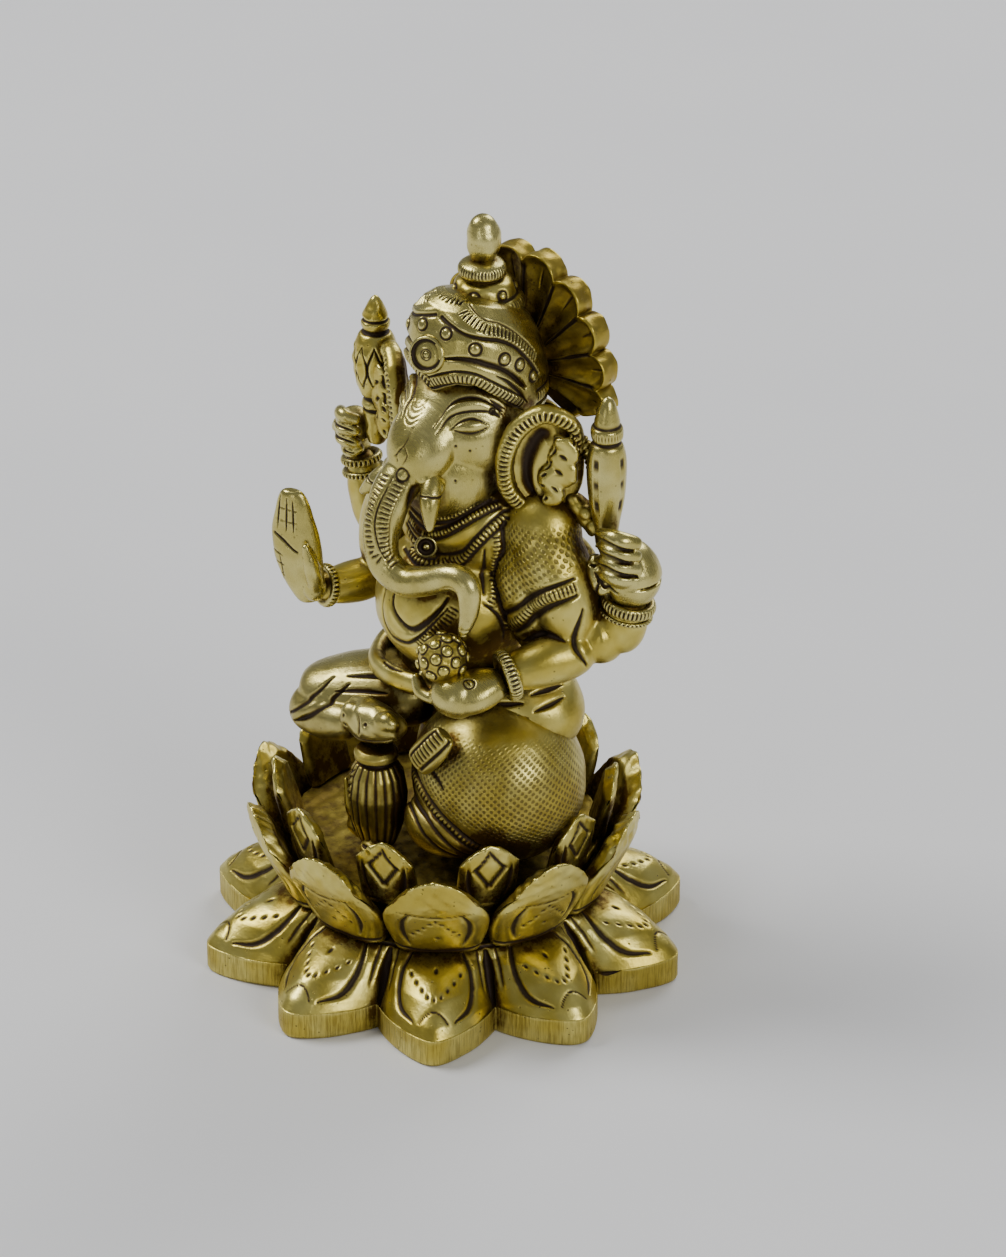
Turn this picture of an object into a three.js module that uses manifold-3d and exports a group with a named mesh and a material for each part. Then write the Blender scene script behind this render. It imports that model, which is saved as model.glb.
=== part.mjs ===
// A small cast brass Ganesha seated on a double lotus, built as separate castings.
// Millimetres, +Z up. The figure looks along -Y, its left side is +X, and the foot stands on Z = 0.
import * as THREE from 'three';
import { mergeVertices } from 'three/addons/utils/BufferGeometryUtils.js';
import Module from 'manifold-3d';

const wasm = await Module();
wasm.setup();

// ---- driving dimensions ----
const PETALS = 10;
const PITCH = (2 * Math.PI) / PETALS;
const LOTUS_TURN = THREE.MathUtils.degToRad(3.5);
const GAP = 0.3; // clearance that brazed neighbours keep

const FOOT = { tip: 45, valley: 34.4, wall: 5.2, seamRadius: 27.5, top: 14, valleyDip: 1.5 };
const BOWL = { bottom: FOOT.top + GAP, baseRadius: 25.2, bellyRadius: 26.6, rimRadius: 28.4, floor: 23.6 };
const OUTER_PETAL = {
  base: 14.4, baseRadius: 27.3, tipRadius: 36, height: 18.8, thickness: 3.2,
  halfWidth: PITCH * 0.475, cup: 1.6, panels: 6,
};
const INNER_PETAL = {
  base: 23.95, baseRadius: 28.0, tipRadius: 30.6, height: 13.2, thickness: 2.3,
  halfWidth: PITCH * 0.29, cup: 0.4, panels: 3,
};

const SPINE = 0.8; // the head and crown sit this far to the figure's left of the lotus centre
const HALO = {
  x: 3.6, y: 18.6, z: 112, wide: 15.9, high: 18.9, thickness: 4,
  lobe: 3.6, lobes: 10, stepDegrees: 22, stem: 7, stemFoot: -16,
};

const BRASS = { color: 0xb59a45, roughness: 0.38, metalness: 1 };
const WORN_BRASS = { color: 0xc2a95a, roughness: 0.3, metalness: 1 };
const DARK_BRASS = { color: 0x8f7634, roughness: 0.5, metalness: 1 };

// ---- solids ----
const vector = ([x, y, z]) => new THREE.Vector3(x, y, z);

function solid(geometry) {
  const bare = geometry.clone();
  bare.deleteAttribute('normal');
  bare.deleteAttribute('uv');
  const merged = mergeVertices(bare, 1e-4);
  return new wasm.Manifold(
    new wasm.Mesh({
      numProp: 3,
      vertProperties: merged.attributes.position.array,
      triVerts: new Uint32Array(merged.index.array),
    }),
  );
}

const join = (solids) => solids.reduce((whole, next) => whole.add(next));

// An ellipsoid; turn is three angles in degrees, and grow thickens it all round.
function ball(centre, radii, { turn = [0, 0, 0], sides = 14 } = {}) {
  return (grow) => {
    const geometry = new THREE.SphereGeometry(1, sides, Math.round(sides * 0.7));
    geometry.rotateX(Math.PI / 2);
    geometry.scale(...radii.map((radius) => radius + grow));
    const angles = turn.map(THREE.MathUtils.degToRad);
    geometry.applyMatrix4(new THREE.Matrix4().makeRotationFromEuler(new THREE.Euler(...angles)));
    geometry.translate(...centre);
    return solid(geometry);
  };
}

// A sphere drawn out along a curve. sizes holds one [across, deep] pair of radii for each point of the
// path, facing is the direction that "deep" points in, and blunt runs from 1, a spindle, to 0.2, a stub.
function limb(path, sizes, { facing = [0, 0, 1], sides = 10, rings = 11, blunt = 0.45 } = {}) {
  const curve = new THREE.CatmullRomCurve3(path.map(vector));
  const pairs = sizes.map((size) => (Array.isArray(size) ? size : [size, size]));
  const girth = new THREE.CatmullRomCurve3(pairs.map(([a, b]) => new THREE.Vector3(a, b, 0)));
  return (grow) => {
    const geometry = new THREE.SphereGeometry(1, sides, rings);
    const position = geometry.attributes.position;
    for (let i = 0; i < position.count; i++) {
      const ring = Math.floor(i / (sides + 1));
      const lean = (Math.PI * ring) / rings;
      const along = (1 - Math.cos(lean)) / 2;
      const around = (2 * Math.PI * (i % (sides + 1))) / sides;
      const tangent = curve.getTangent(along);
      const deep = vector(facing).projectOnPlane(tangent).normalize();
      const across = new THREE.Vector3().crossVectors(tangent, deep);
      const size = girth.getPoint(along);
      const swell = ring === 0 || ring === rings ? 0 : Math.sin(lean) ** blunt;
      const point = curve.getPoint(along).addScaledVector(tangent, -grow * Math.cos(lean));
      point.addScaledVector(across, Math.cos(around) * (size.x + grow) * swell);
      point.addScaledVector(deep, Math.sin(around) * (size.y + grow) * swell);
      position.setXYZ(i, point.x, point.y, point.z);
    }
    return solid(geometry);
  };
}

// A turned shape about an upright axis; the profile's points are [radius, height].
function turned(axis, profile, segments = 20) {
  return (grow, shear = new THREE.Matrix4()) => {
    const low = profile[0][1];
    const high = profile[profile.length - 1][1];
    const line = profile.map(([radius, height]) => {
      const lift = height === low ? -grow : height === high ? grow : 0;
      return new THREE.Vector2(radius ? radius + grow : 0, height + lift);
    });
    const geometry = new THREE.LatheGeometry(line, segments);
    geometry.rotateX(Math.PI / 2);
    geometry.applyMatrix4(shear);
    geometry.translate(axis.x, axis.y, 0);
    return solid(geometry);
  };
}

const blend = (...shapes) => (grow) => join(shapes.map((shape) => shape(grow)));

// ---- the double lotus ----
const wrap = (angle) => angle - PITCH * Math.round(angle / PITCH);

// Foot: a turned plate whose rim is pressed in between ten petals.
function footShape() {
  const profile = [
    [0, 0], [FOOT.tip, 0], [FOOT.tip, FOOT.wall], [43.6, 6.9], [39.5, 9.6],
    [34.5, 12], [30, 13.4], [FOOT.seamRadius, FOOT.top], [0, FOOT.top],
  ].map(([radius, height]) => new THREE.Vector2(radius, height));
  const geometry = new THREE.LatheGeometry(profile, PETALS * 8);
  geometry.rotateX(Math.PI / 2);
  const position = geometry.attributes.position;
  for (let i = 0; i < position.count; i++) {
    const [x, y, z] = [position.getX(i), position.getY(i), position.getZ(i)];
    const radius = Math.hypot(x, y);
    const angle = Math.atan2(x, -y);
    const side = Math.abs(wrap(angle - LOTUS_TURN)) / (PITCH / 2);
    const reach = THREE.MathUtils.smoothstep(radius, BOWL.baseRadius, FOOT.tip);
    const inward = (FOOT.tip - FOOT.valley) * side ** 1.12 * reach;
    const outside = THREE.MathUtils.smoothstep(radius, FOOT.seamRadius, FOOT.seamRadius + 3.5);
    const dip = z > 0.1 ? FOOT.valleyDip * side ** 3 * outside : 0; // the underside stays flat
    const slim = radius ? (radius - inward) / radius : 1;
    position.setXYZ(i, x * slim, y * slim, z - dip);
  }
  return solid(geometry);
}

const bowl = turned({ x: 0, y: 0 }, [
  [0, BOWL.bottom], [BOWL.baseRadius, BOWL.bottom], [BOWL.bellyRadius, 19.5], [BOWL.rimRadius, 22.8],
  [BOWL.rimRadius, BOWL.floor], [0, BOWL.floor],
], 40);

// A petal is a box bent round the lotus: x runs across it, y through it and z up it.
function petalShape(size, angle, outline) {
  const geometry = new THREE.BoxGeometry(2, 2, 1, size.panels, 1, 4);
  const position = geometry.attributes.position;
  for (let i = 0; i < position.count; i++) {
    const side = position.getX(i);
    const skin = position.getY(i);
    const up = position.getZ(i) + 0.5;
    const { width, droop } = outline(side, up);
    const lean = size.baseRadius + (size.tipRadius - size.baseRadius) * up ** 1.15;
    const wall = (size.thickness / 2) * (1 - 0.35 * up) * skin;
    const belly = size.cup * (1 - side * side) * Math.sin(Math.PI * Math.min(1, up * 0.8 + 0.1));
    const radius = lean + wall + belly;
    const turn = angle - side * size.halfWidth * width;
    const height = size.base + up * size.height * (1 - droop);
    position.setXYZ(i, radius * Math.sin(turn), -radius * Math.cos(turn), height);
  }
  return solid(geometry);
}

const outerOutline = (side, up) => ({
  width: 0.88 + 0.12 * Math.sin(Math.PI * up) - 0.28 * up ** 4,
  droop: 0.3 * side * side,
});
const innerOutline = (side, up) => ({
  width: 1 - 0.15 * up ** 3,
  droop: 0.16 * side ** 4,
});

// ---- the figure ----
const torso = blend(
  ball([1.8, 0.8, 71], [14.8, 13.4, 13.5], { sides: 16 }),
  ball([2.4, 3.8, 86], [13.6, 10.2, 10.5], { sides: 14 }),
  ball([9.5, 5.6, 52], [16.6, 11, 10.5], { sides: 12 }),
  ball([-5, 6, 50], [11, 9, 10], { sides: 10 }),
  ball([17, 6.6, 86.5], [8, 6.8, 9], { sides: 10 }),
  ball([-11.8, 6.5, 86.5], [7, 6.2, 8], { sides: 10 }),
  limb([[4, 8, 24.2], [4, 8, 34], [3, 7, 44]], [[15, 10], [16, 11], [15, 10]], {
    facing: [0, 1, 0], sides: 12, rings: 6, blunt: 0.25,
  }),
);

const leftThigh = blend(
  ball([14.4, -1.4, 40.2], [16, 15.2, 15.9], { sides: 20 }),
  limb([[20, -10.4, 34], [11, -13.6, 33.4], [4.4, -13, 36]], [5, 5, 3.6], { sides: 10, rings: 8 }),
);

const rightThigh = blend(
  limb([[-3, 1, 51], [-13, -4, 49], [-25, -10.8, 47]], [[9.5, 7.6], [8.8, 6.8], [7.4, 5.8]], {
    sides: 12, blunt: 0.4,
  }),
  limb([[-25, -11, 45], [-17, -12.6, 45], [-9.5, -13.8, 47]], [5.4, 4.2, 3.6], { sides: 10, rings: 9 }),
);

const rightFoot = limb(
  [[-9.2, -14, 49.5], [-3.2, -15.3, 50.2], [3.4, -15.6, 51.6]],
  [[3.6, 4.4], [3.6, 3.9], [2.9, 2.6]],
  { blunt: 0.3 },
);

const footrest = blend(
  turned({ x: -2.6, y: -15.4 }, [[0, 43.2], [3.9, 43.2], [4.1, 44.3], [3.5, 45.6], [0, 45.6]], 16),
  turned({ x: -2.4, y: -15.4 }, [
    [0, 24], [2.2, 24], [3.4, 26.6], [5, 32], [5.3, 37], [4.4, 41.6], [3, 43.8], [0, 43.8],
  ], 16),
  ball([-0.6, -18.2, 25.9], [3, 2.3, 1.9], { sides: 10 }),
);

const footrestLeaf = limb(
  [[-5.4, -15.6, 25.6], [-8.6, -15.2, 29.6], [-11.2, -14.4, 35.4]],
  [[1.9, 1.3], [2.4, 1.3], [0.7, 0.6]],
  { facing: [-0.6, 0, 0.8], sides: 8, rings: 10 },
);

const sash = limb(
  [[13.6, -14.8, 53.6], [11.6, -15.8, 50.6], [8.8, -16.4, 47]],
  [[2.6, 1.5], [3, 1.5], [3.2, 1.3]],
  { facing: [0.3, -0.9, 0.4], sides: 8, rings: 10, blunt: 0.3 },
);

const belt = (grow) => {
  const bar = new THREE.Shape(roundSection(1.5 + grow, 2.1 + grow, 8));
  const loop = new THREE.CatmullRomCurve3(
    [[17.2, 2], [11.8, -7.6], [1, -11], [-10, -7.2], [-15.5, 4], [-9.6, 13.8], [1, 17], [12, 13.6]].map(
      ([x, y]) => new THREE.Vector3(x, y, 58.2 + 0.12 * x),
    ),
    true,
  );
  return solid(new THREE.ExtrudeGeometry(bar, { steps: 32, extrudePath: loop }));
};

function roundSection(halfWidth, halfHeight, corners) {
  return Array.from({ length: corners }, (_, i) => {
    const angle = (2 * Math.PI * i) / corners;
    return new THREE.Vector2(halfWidth * Math.cos(angle), halfHeight * Math.sin(angle));
  });
}

const head = blend(
  ball([SPINE, 5, 105], [12.1, 11.8, 12], { sides: 16 }),
  ball([SPINE, 1.6, 97], [9.8, 10, 11], { sides: 12 }),
  limb([[SPINE, -1, 110], [0.2, -6, 103], [-0.6, -8.4, 97]], [[7.5, 5.5], [6.8, 5], [5, 3.6]], {
    facing: [0, 1, 0], sides: 12, rings: 8,
  }),
  ball([SPINE, 4.5, 90.5], [8.5, 7.5, 5.5], { sides: 12 }),
);

const trunk = limb(
  [
    [-0.6, -7.6, 100.4], [-1.6, -10.8, 96.2], [-2.1, -13, 91.4], [-2.3, -13.9, 87], [-1.2, -13.9, 82.6],
    [3, -13.3, 80.6], [8, -12.6, 82], [13, -11.8, 84.2], [16.2, -11.4, 83.2], [16.8, -11.8, 78.6],
    [15.8, -12.7, 73.4],
  ],
  [[5.2, 4], [4.8, 3.8], [4.1, 3.4], [3.5, 3.1], [3.2, 2.9], [3, 2.8], [2.7, 2.6], [2.5, 2.4], [2.4, 2.3],
    [2, 1.9], [1.1, 1.1]],
  { facing: [0, 1, 0.02], sides: 12, rings: 26, blunt: 0.35 },
);

const tuskLeft = limb([[4.6, -7.6, 99.4], [6.2, -10, 95.6], [7.4, -11.6, 91]], [1.9, 1.9, 0.9], {
  sides: 10, rings: 8,
});
const tuskRight = limb([[-6, -6.6, 97.4], [-8.6, -8.4, 94.2], [-11.2, -9.4, 91.6]], [1.9, 1.6, 0.8], {
  sides: 10, rings: 8,
});

// An ear is a flat shell swept back from the cheek, with a rolled rim and a folded lobe.
function ear(side) {
  const mirror = ([x, y, z]) => [SPINE + side * (x - 0.4), y, z];
  return blend(
    ball(mirror([17.6, 6.6, 101.2]), [6.6, 1.7, 10.4], { turn: [0, 0, side * 38], sides: 12 }),
    limb(
      [[17.5, 5.6, 90.8], [13.7, 2.2, 95.5], [12.9, 1.2, 101.5], [14.6, 2.4, 108], [18.4, 5.4, 111.6],
        [22.2, 8.6, 109.4], [23.2, 9.8, 104.5]].map(mirror),
      [1.7, 1.6, 1.7, 1.8, 1.8, 1.7, 1.2],
      { facing: [0, 1, 0.1], sides: 8, rings: 14 },
    ),
    limb(
      [[20, 6, 107.6], [21.6, 7, 103], [19.4, 5.4, 99.8], [19.8, 5.4, 95]].map(mirror),
      [[1.6, 2], [2.6, 2.2], [2, 2], [1.2, 1.4]],
      { facing: [0, 1, 0.1], sides: 7, rings: 9 },
    ),
  );
}

const rope = limb(
  [[23.2, 9.9, 107.2], [25, 11.2, 102.6], [25.8, 11.9, 96.6], [26.6, 12, 90.6], [28.4, 11.6, 87.6]],
  [1.1, 1.2, 1.3, 1.4, 1.5],
  { facing: [0, 1, 0], sides: 8, rings: 18, blunt: 0.3 },
);

// ---- crown ----
// The dome is worn high over the brow and low behind the ears, so its lower rings lean back.
const crownAxis = { x: SPINE, y: 8 };
const CROWN_LEAN = 0.3;

function leaning(shape, lean, level) {
  return (grow) => {
    const shear = new THREE.Matrix4().set(1, 0, 0, 0, 0, 1, 0, 0, 0, -lean, 1, lean * level, 0, 0, 0, 1);
    return shape(grow, shear);
  };
}

const crownBand = leaning(turned(crownAxis, [
  [0, 110.4], [12.2, 110.4], [12.9, 111.8], [12.9, 114.6], [12.4, 118], [0, 118],
], 26), CROWN_LEAN, 4);
const crownDome = leaning(turned(crownAxis, [
  [0, 118.3], [12.1, 118.3], [11.7, 120.4], [10.2, 123.2], [7.6, 125.6], [4, 126.6], [0, 126.6],
], 22), CROWN_LEAN, 5);
const crownMedallion = (grow) => {
  const disc = new THREE.CylinderGeometry(3 + grow, 3.3 + grow, 2.4 + 2 * grow, 16);
  disc.rotateX(Math.PI / 2 - 0.2);
  disc.rotateZ(-0.05);
  disc.translate(SPINE - 1.4, -4.3, 118.8);
  return solid(disc);
};
const crownTiers = blend(
  turned({ x: SPINE, y: 10 }, [[0, 123.4], [5.8, 123.4], [6.6, 126.6], [5.2, 129.8], [0, 129.8]], 16),
  turned({ x: SPINE, y: 9.4 }, [[0, 129.6], [3, 129.6], [4.2, 131], [4.2, 133], [3, 134.2], [0, 134.2]], 18),
);
const crownFinial = turned({ x: SPINE, y: 9.8 }, [
  [0, 134.5], [2, 134.5], [2.9, 136], [3.2, 138], [2.7, 140.6], [1.5, 142.2], [0, 142.8],
], 16);

// The fan behind the crown: a tall oval edged with round lobes, on a short stem.
const halo = (grow) => {
  const outline = new THREE.Shape();
  const step = THREE.MathUtils.degToRad(HALO.stepDegrees);
  const start = Math.PI / 2 - (step * (HALO.lobes - 1)) / 2;
  outline.moveTo(HALO.stem + grow, HALO.stemFoot - grow);
  for (let i = 0; i < HALO.lobes; i++) {
    const angle = start + step * i;
    const [wide, high] = [HALO.wide * Math.cos(angle), HALO.high * Math.sin(angle)];
    outline.absarc(wide, high, HALO.lobe + grow, angle - 1.4, angle + 1.4, false);
  }
  outline.lineTo(-HALO.stem - grow, HALO.stemFoot - grow);
  // A cutter reaches well behind the fan, so nothing is left on its back.
  const behind = grow ? 8 : 0;
  const geometry = new THREE.ExtrudeGeometry(outline, {
    depth: HALO.thickness + grow + behind, bevelEnabled: false, curveSegments: 4,
  });
  geometry.translate(0, 0, -HALO.thickness / 2 - behind);
  geometry.rotateX(Math.PI / 2);
  geometry.translate(HALO.x, HALO.y, HALO.z);
  return solid(geometry);
};

// ---- arms and what the hands hold ----
const frontLeftArm = blend(
  limb([[17.5, 5.4, 89], [23, 4.8, 80], [27.2, 4.8, 70]], [7.2, 6.6, 5.4]),
  limb([[29, 6.4, 68.6], [25.6, -1, 67.6], [21.2, -7.6, 65.8]], [5, 4.4, 3.7]),
);
const frontLeftHand = blend(
  limb([[21.3, -8.8, 65.2], [18, -13.2, 63.4], [12.6, -15.6, 61.8]], [[4, 3], [5, 3.6], [3.8, 2.2]], {
    sides: 12, rings: 10, blunt: 0.4,
  }),
  ...[0, 1, 2, 3].map((i) =>
    limb([[14.2, -17.6 + i * 1.9, 62.2 + i * 0.3], [10.4, -17.4 + i * 1.9, 62.6], [8.6, -17 + i * 1.9, 65.2]],
      [1.2, 1.15, 0.9], { sides: 7, rings: 6 })),
);
const sweets = ball([13.4, -14.9, 69.2], [4.6, 4.6, 4.9]);

const frontRightArm = blend(
  limb([[-14.5, 5.5, 87.5], [-17.6, 4.6, 77.5], [-18.6, 3.4, 69]], [6.2, 5.4, 4.6]),
  limb([[-18.4, 4, 67.6], [-21, -2, 67], [-22.8, -7.4, 67.8]], [4.2, 3.8, 3.2]),
);
const frontRightHand = blend(
  limb([[-23, -10.2, 65.8], [-24.6, -11.2, 73], [-25.2, -11.8, 79.6], [-25.4, -12.2, 88.2]],
    [[3, 2.2], [4.4, 2.3], [4.5, 2], [3.2, 1.4]],
    { facing: [0.35, -0.94, 0], sides: 14, rings: 14, blunt: 0.35 }),
  limb([[-20.9, -11, 69.2], [-20.6, -12.2, 73.4], [-21.4, -13, 78.4]], [1.5, 1.5, 0.9], {
    sides: 7, rings: 6,
  }),
);

const rearRightArm = blend(
  limb([[-15, 9.6, 85.5], [-20.6, 10.4, 76], [-24.6, 10.6, 70.6]], [5, 4.6, 4]),
  limb([[-25, 10.6, 70.4], [-27.8, 10.3, 78], [-29.4, 10, 85.4]], [4.1, 3.7, 3]),
);
const rearRightHand = blend(
  limb([[-29.6, 9.8, 86.6], [-30.4, 9.2, 90.6], [-29.6, 8.6, 95]], [[3.2, 2.8], [4, 3.2], [3, 2.6]], {
    sides: 12, rings: 10,
  }),
  ...[0, 1, 2].map((i) =>
    limb([[-32.2, 7.6, 94.6 - i * 2.4], [-29.4, 5.4, 95.2 - i * 2.4], [-26.2, 6.4, 94.8 - i * 2.4]],
      [1.3, 1.35, 1.1], { sides: 7, rings: 6 })),
);
const goad = blend(
  turned({ x: -24.6, y: 9 }, [
    [0, 90.5], [2, 90.5], [2.1, 96], [2.9, 97.4], [2.2, 99], [3.4, 101.4], [4.1, 105], [4.1, 109.4],
    [3, 112], [2.2, 112.8], [2.8, 113.8], [2.4, 115.6], [1, 118.6], [0, 119.6],
  ], 18),
  limb([[-23, 9, 102.5], [-19.6, 9, 105.5], [-19.4, 9, 110.4]], [[2.6, 1], [2.2, 1], [0.8, 0.7]], {
    facing: [0, 1, 0], sides: 8, rings: 10,
  }),
);

const rearLeftArm = blend(
  limb([[18, 10.5, 85], [25.4, 10.6, 74.6], [29.4, 10.4, 69.6]], [5.2, 5.2, 5]),
  limb([[30.2, 10.6, 69], [32.2, 11.2, 73], [33.2, 11.8, 77.6]], [5, 4.5, 3.9], { sides: 14, rings: 12 }),
);
const rearLeftHand = blend(
  limb([[33.2, 12, 77.8], [34, 12, 82.4], [33, 12, 88.6]], [[4.2, 4], [5.2, 5], [4.2, 3.8]], {
    sides: 14, rings: 12,
  }),
  ...[0, 1, 2, 3].map((i) =>
    limb([[37, 10.2, 90.6 - i * 2.5], [33.4, 7, 91.6 - i * 2.5], [29, 8.2, 91.4 - i * 2.6]],
      [1.45, 1.5, 1.2], { sides: 7, rings: 6 })),
);
const mace = turned({ x: 28.4, y: 11.2 }, [
  [0, 86.5], [1.8, 86.5], [2.1, 91], [3, 95], [3.5, 100], [3.3, 105], [2.7, 107.4], [2.9, 108.6],
  [2.9, 110], [2.2, 111.2], [1.6, 114], [0, 116.2],
], 18);

// ---- assembly: a piece is cut back, with clearance, by every piece listed before it ----
const pieces = [
  ['sweets', sweets, BRASS],
  ['front_left_hand', frontLeftHand, WORN_BRASS],
  ['front_right_hand', frontRightHand, WORN_BRASS],
  ['goad', goad, BRASS],
  ['rear_right_hand', rearRightHand, BRASS],
  ['mace', mace, WORN_BRASS],
  ['rear_left_hand', rearLeftHand, WORN_BRASS],
  ['rope_strand', rope, BRASS],
  ['trunk', trunk, WORN_BRASS],
  ['tusk_left', tuskLeft, WORN_BRASS],
  ['tusk_right', tuskRight, WORN_BRASS],
  ['crown_finial', crownFinial, WORN_BRASS],
  ['crown_tiers', crownTiers, BRASS],
  ['halo', halo, DARK_BRASS],
  ['crown_medallion', crownMedallion, WORN_BRASS],
  ['crown_band', crownBand, BRASS],
  ['crown_dome', crownDome, WORN_BRASS],
  ['head', head, WORN_BRASS],
  ['ear_left', ear(1), BRASS],
  ['ear_right', ear(-1), BRASS],
  ['sash_end', sash, BRASS],
  ['right_foot', rightFoot, WORN_BRASS],
  ['footrest_bud', footrest, BRASS],
  ['footrest_leaf', footrestLeaf, DARK_BRASS],
  ['waist_belt', belt, BRASS],
  ['front_left_arm', frontLeftArm, WORN_BRASS],
  ['front_right_arm', frontRightArm, WORN_BRASS],
  ['rear_left_arm', rearLeftArm, BRASS],
  ['rear_right_arm', rearRightArm, BRASS],
  ['left_thigh', leftThigh, BRASS],
  ['right_thigh', rightThigh, WORN_BRASS],
  ['torso', torso, BRASS],
];

function meshOf(name, made, look) {
  const { vertProperties, triVerts } = made.getMesh();
  const geometry = new THREE.BufferGeometry();
  geometry.setAttribute('position', new THREE.BufferAttribute(new Float32Array(vertProperties), 3));
  geometry.setIndex(new THREE.BufferAttribute(new Uint32Array(triVerts), 1));
  geometry.computeVertexNormals();
  const mesh = new THREE.Mesh(geometry, new THREE.MeshStandardMaterial(look));
  mesh.name = name;
  return mesh;
}

const idol = new THREE.Group();
idol.add(meshOf('lower_lotus', footShape(), BRASS));
idol.add(meshOf('upper_lotus_bowl', bowl(0), DARK_BRASS));
for (let i = 0; i < PETALS; i++) {
  const label = String(i + 1).padStart(2, '0');
  const angle = LOTUS_TURN + i * PITCH;
  const outer = petalShape(OUTER_PETAL, angle, outerOutline);
  const inner = petalShape(INNER_PETAL, angle + PITCH / 2, innerOutline);
  idol.add(meshOf('outer_petal_' + label, outer, BRASS));
  idol.add(meshOf('inner_petal_' + label, inner, BRASS));
}

const placed = [];
for (const [name, shape, look] of pieces) {
  let made = shape(0);
  for (const neighbour of placed) {
    made = made.subtract(neighbour(GAP));
  }
  idol.add(meshOf(name, made, look));
  placed.push(shape);
}

export default idol;
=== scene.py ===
import math

import bpy
import numpy as np
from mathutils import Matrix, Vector
from mathutils.bvhtree import BVHTree


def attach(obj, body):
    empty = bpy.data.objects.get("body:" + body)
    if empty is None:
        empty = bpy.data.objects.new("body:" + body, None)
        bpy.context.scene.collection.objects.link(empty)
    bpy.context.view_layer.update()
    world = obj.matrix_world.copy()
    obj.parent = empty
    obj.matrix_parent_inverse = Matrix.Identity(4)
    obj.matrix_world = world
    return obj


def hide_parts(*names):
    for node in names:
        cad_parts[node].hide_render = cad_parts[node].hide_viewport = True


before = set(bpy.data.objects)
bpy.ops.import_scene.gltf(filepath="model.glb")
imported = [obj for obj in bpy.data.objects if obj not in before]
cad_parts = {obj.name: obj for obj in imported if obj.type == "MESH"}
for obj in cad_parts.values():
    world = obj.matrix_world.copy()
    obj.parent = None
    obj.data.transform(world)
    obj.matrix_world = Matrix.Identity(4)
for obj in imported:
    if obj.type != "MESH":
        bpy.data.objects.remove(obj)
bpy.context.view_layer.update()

bl_info = {
    "name": "Brass Ganesha on a lotus",
    "version": (1, 0, 0),
    "blender": (4, 5, 0),
    "location": "3D View > Sidebar > Idol",
    "description": "Models a chased brass Ganesha seated on a double lotus",
    "category": "Add Mesh",
}

# Sizes below are millimetres unless a name says otherwise; +Z is up and the figure looks along -Y.
MM = 0.001
PETALS = 10
PITCH = 2 * math.pi / PETALS
LOTUS_TURN = math.radians(3.5)
SPINE = 0.8  # the head and crown sit this far to the figure's left
CROWN_CENTRE = (SPINE, 8.0)
HEAD_CENTRE = (SPINE, 5.0)
MOST_TRIANGLES = 190000  # in one piece


# ---- reading and writing meshes ----
def read_points(mesh):
    flat = np.empty(len(mesh.vertices) * 3)
    mesh.vertices.foreach_get("co", flat)
    return flat.reshape(-1, 3)


def read_normals(mesh):
    flat = np.empty(len(mesh.vertices) * 3, dtype=np.float32)
    mesh.vertex_normals.foreach_get("vector", flat)
    return flat.reshape(-1, 3).astype(float)


def write_points(mesh, points):
    mesh.vertices.foreach_set("co", np.ascontiguousarray(points, dtype=np.float32).ravel())
    mesh.update()


def finish_of(mesh):
    """The finish attribute: red is lacquer in the lines, green painted shade with tarnish where closed in or
    facing down, blue polish, alpha file marks.
    """
    layer = mesh.attributes.get("finish")
    if layer is None:
        layer = mesh.attributes.new("finish", "FLOAT_COLOR", "POINT")
        layer.data.foreach_set("color", np.zeros(len(mesh.vertices) * 4, dtype=np.float32))
    return layer


def read_finish(mesh):
    flat = np.empty(len(mesh.vertices) * 4, dtype=np.float32)
    finish_of(mesh).data.foreach_get("color", flat)
    return flat.reshape(-1, 4)


def write_finish(mesh, channel, values):
    colours = read_finish(mesh)
    colours[:, channel] = np.clip(values, 0, 1)
    finish_of(mesh).data.foreach_set("color", colours.ravel())


def write_cloth(mesh, across, up, mask):
    """The cloth attribute holds two surface measures in millimetres and how strongly the pattern shows."""
    layer = mesh.attributes.get("cloth") or mesh.attributes.new("cloth", "FLOAT_VECTOR", "POINT")
    values = np.stack([across, up, mask], 1).astype(np.float32)
    layer.data.foreach_set("vector", values.ravel())


# ---- modelling with operators ----
def select_only(*pieces):
    bpy.ops.object.select_all(action="DESELECT")
    for piece in pieces:
        piece.select_set(True)
    bpy.context.view_layer.objects.active = pieces[0]


def settle(piece, name):
    """Puts a piece's place into its mesh and names it."""
    select_only(piece)
    bpy.ops.object.transform_apply(location=True, rotation=True, scale=True)
    piece.name = name
    piece.data.name = name
    return piece


def apply_modifier(piece, kind, **settings):
    select_only(piece)
    bpy.ops.object.modifier_add(type=kind)
    modifier = piece.modifiers[-1]
    for key, value in settings.items():
        setattr(modifier, key, value)
    bpy.ops.object.modifier_apply(modifier=modifier.name)


def clean_mesh(piece):
    """Closes seams and poles, then turns all faces outwards."""
    select_only(piece)
    bpy.ops.object.mode_set(mode="EDIT")
    bpy.ops.mesh.select_all(action="SELECT")
    bpy.ops.mesh.remove_doubles(threshold=1e-6)
    bpy.ops.mesh.dissolve_degenerate(threshold=1e-7)
    bpy.ops.mesh.normals_make_consistent(inside=False)
    bpy.ops.object.mode_set(mode="OBJECT")


def ball(centre, radii, turn=(0, 0, 0)):
    bpy.ops.object.select_all(action="DESELECT")
    bpy.ops.mesh.primitive_uv_sphere_add(
        segments=48, ring_count=32, radius=MM, location=[c * MM for c in centre],
        rotation=[math.radians(angle) for angle in turn], scale=radii,
    )
    return settle(bpy.context.active_object, "lump")


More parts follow.
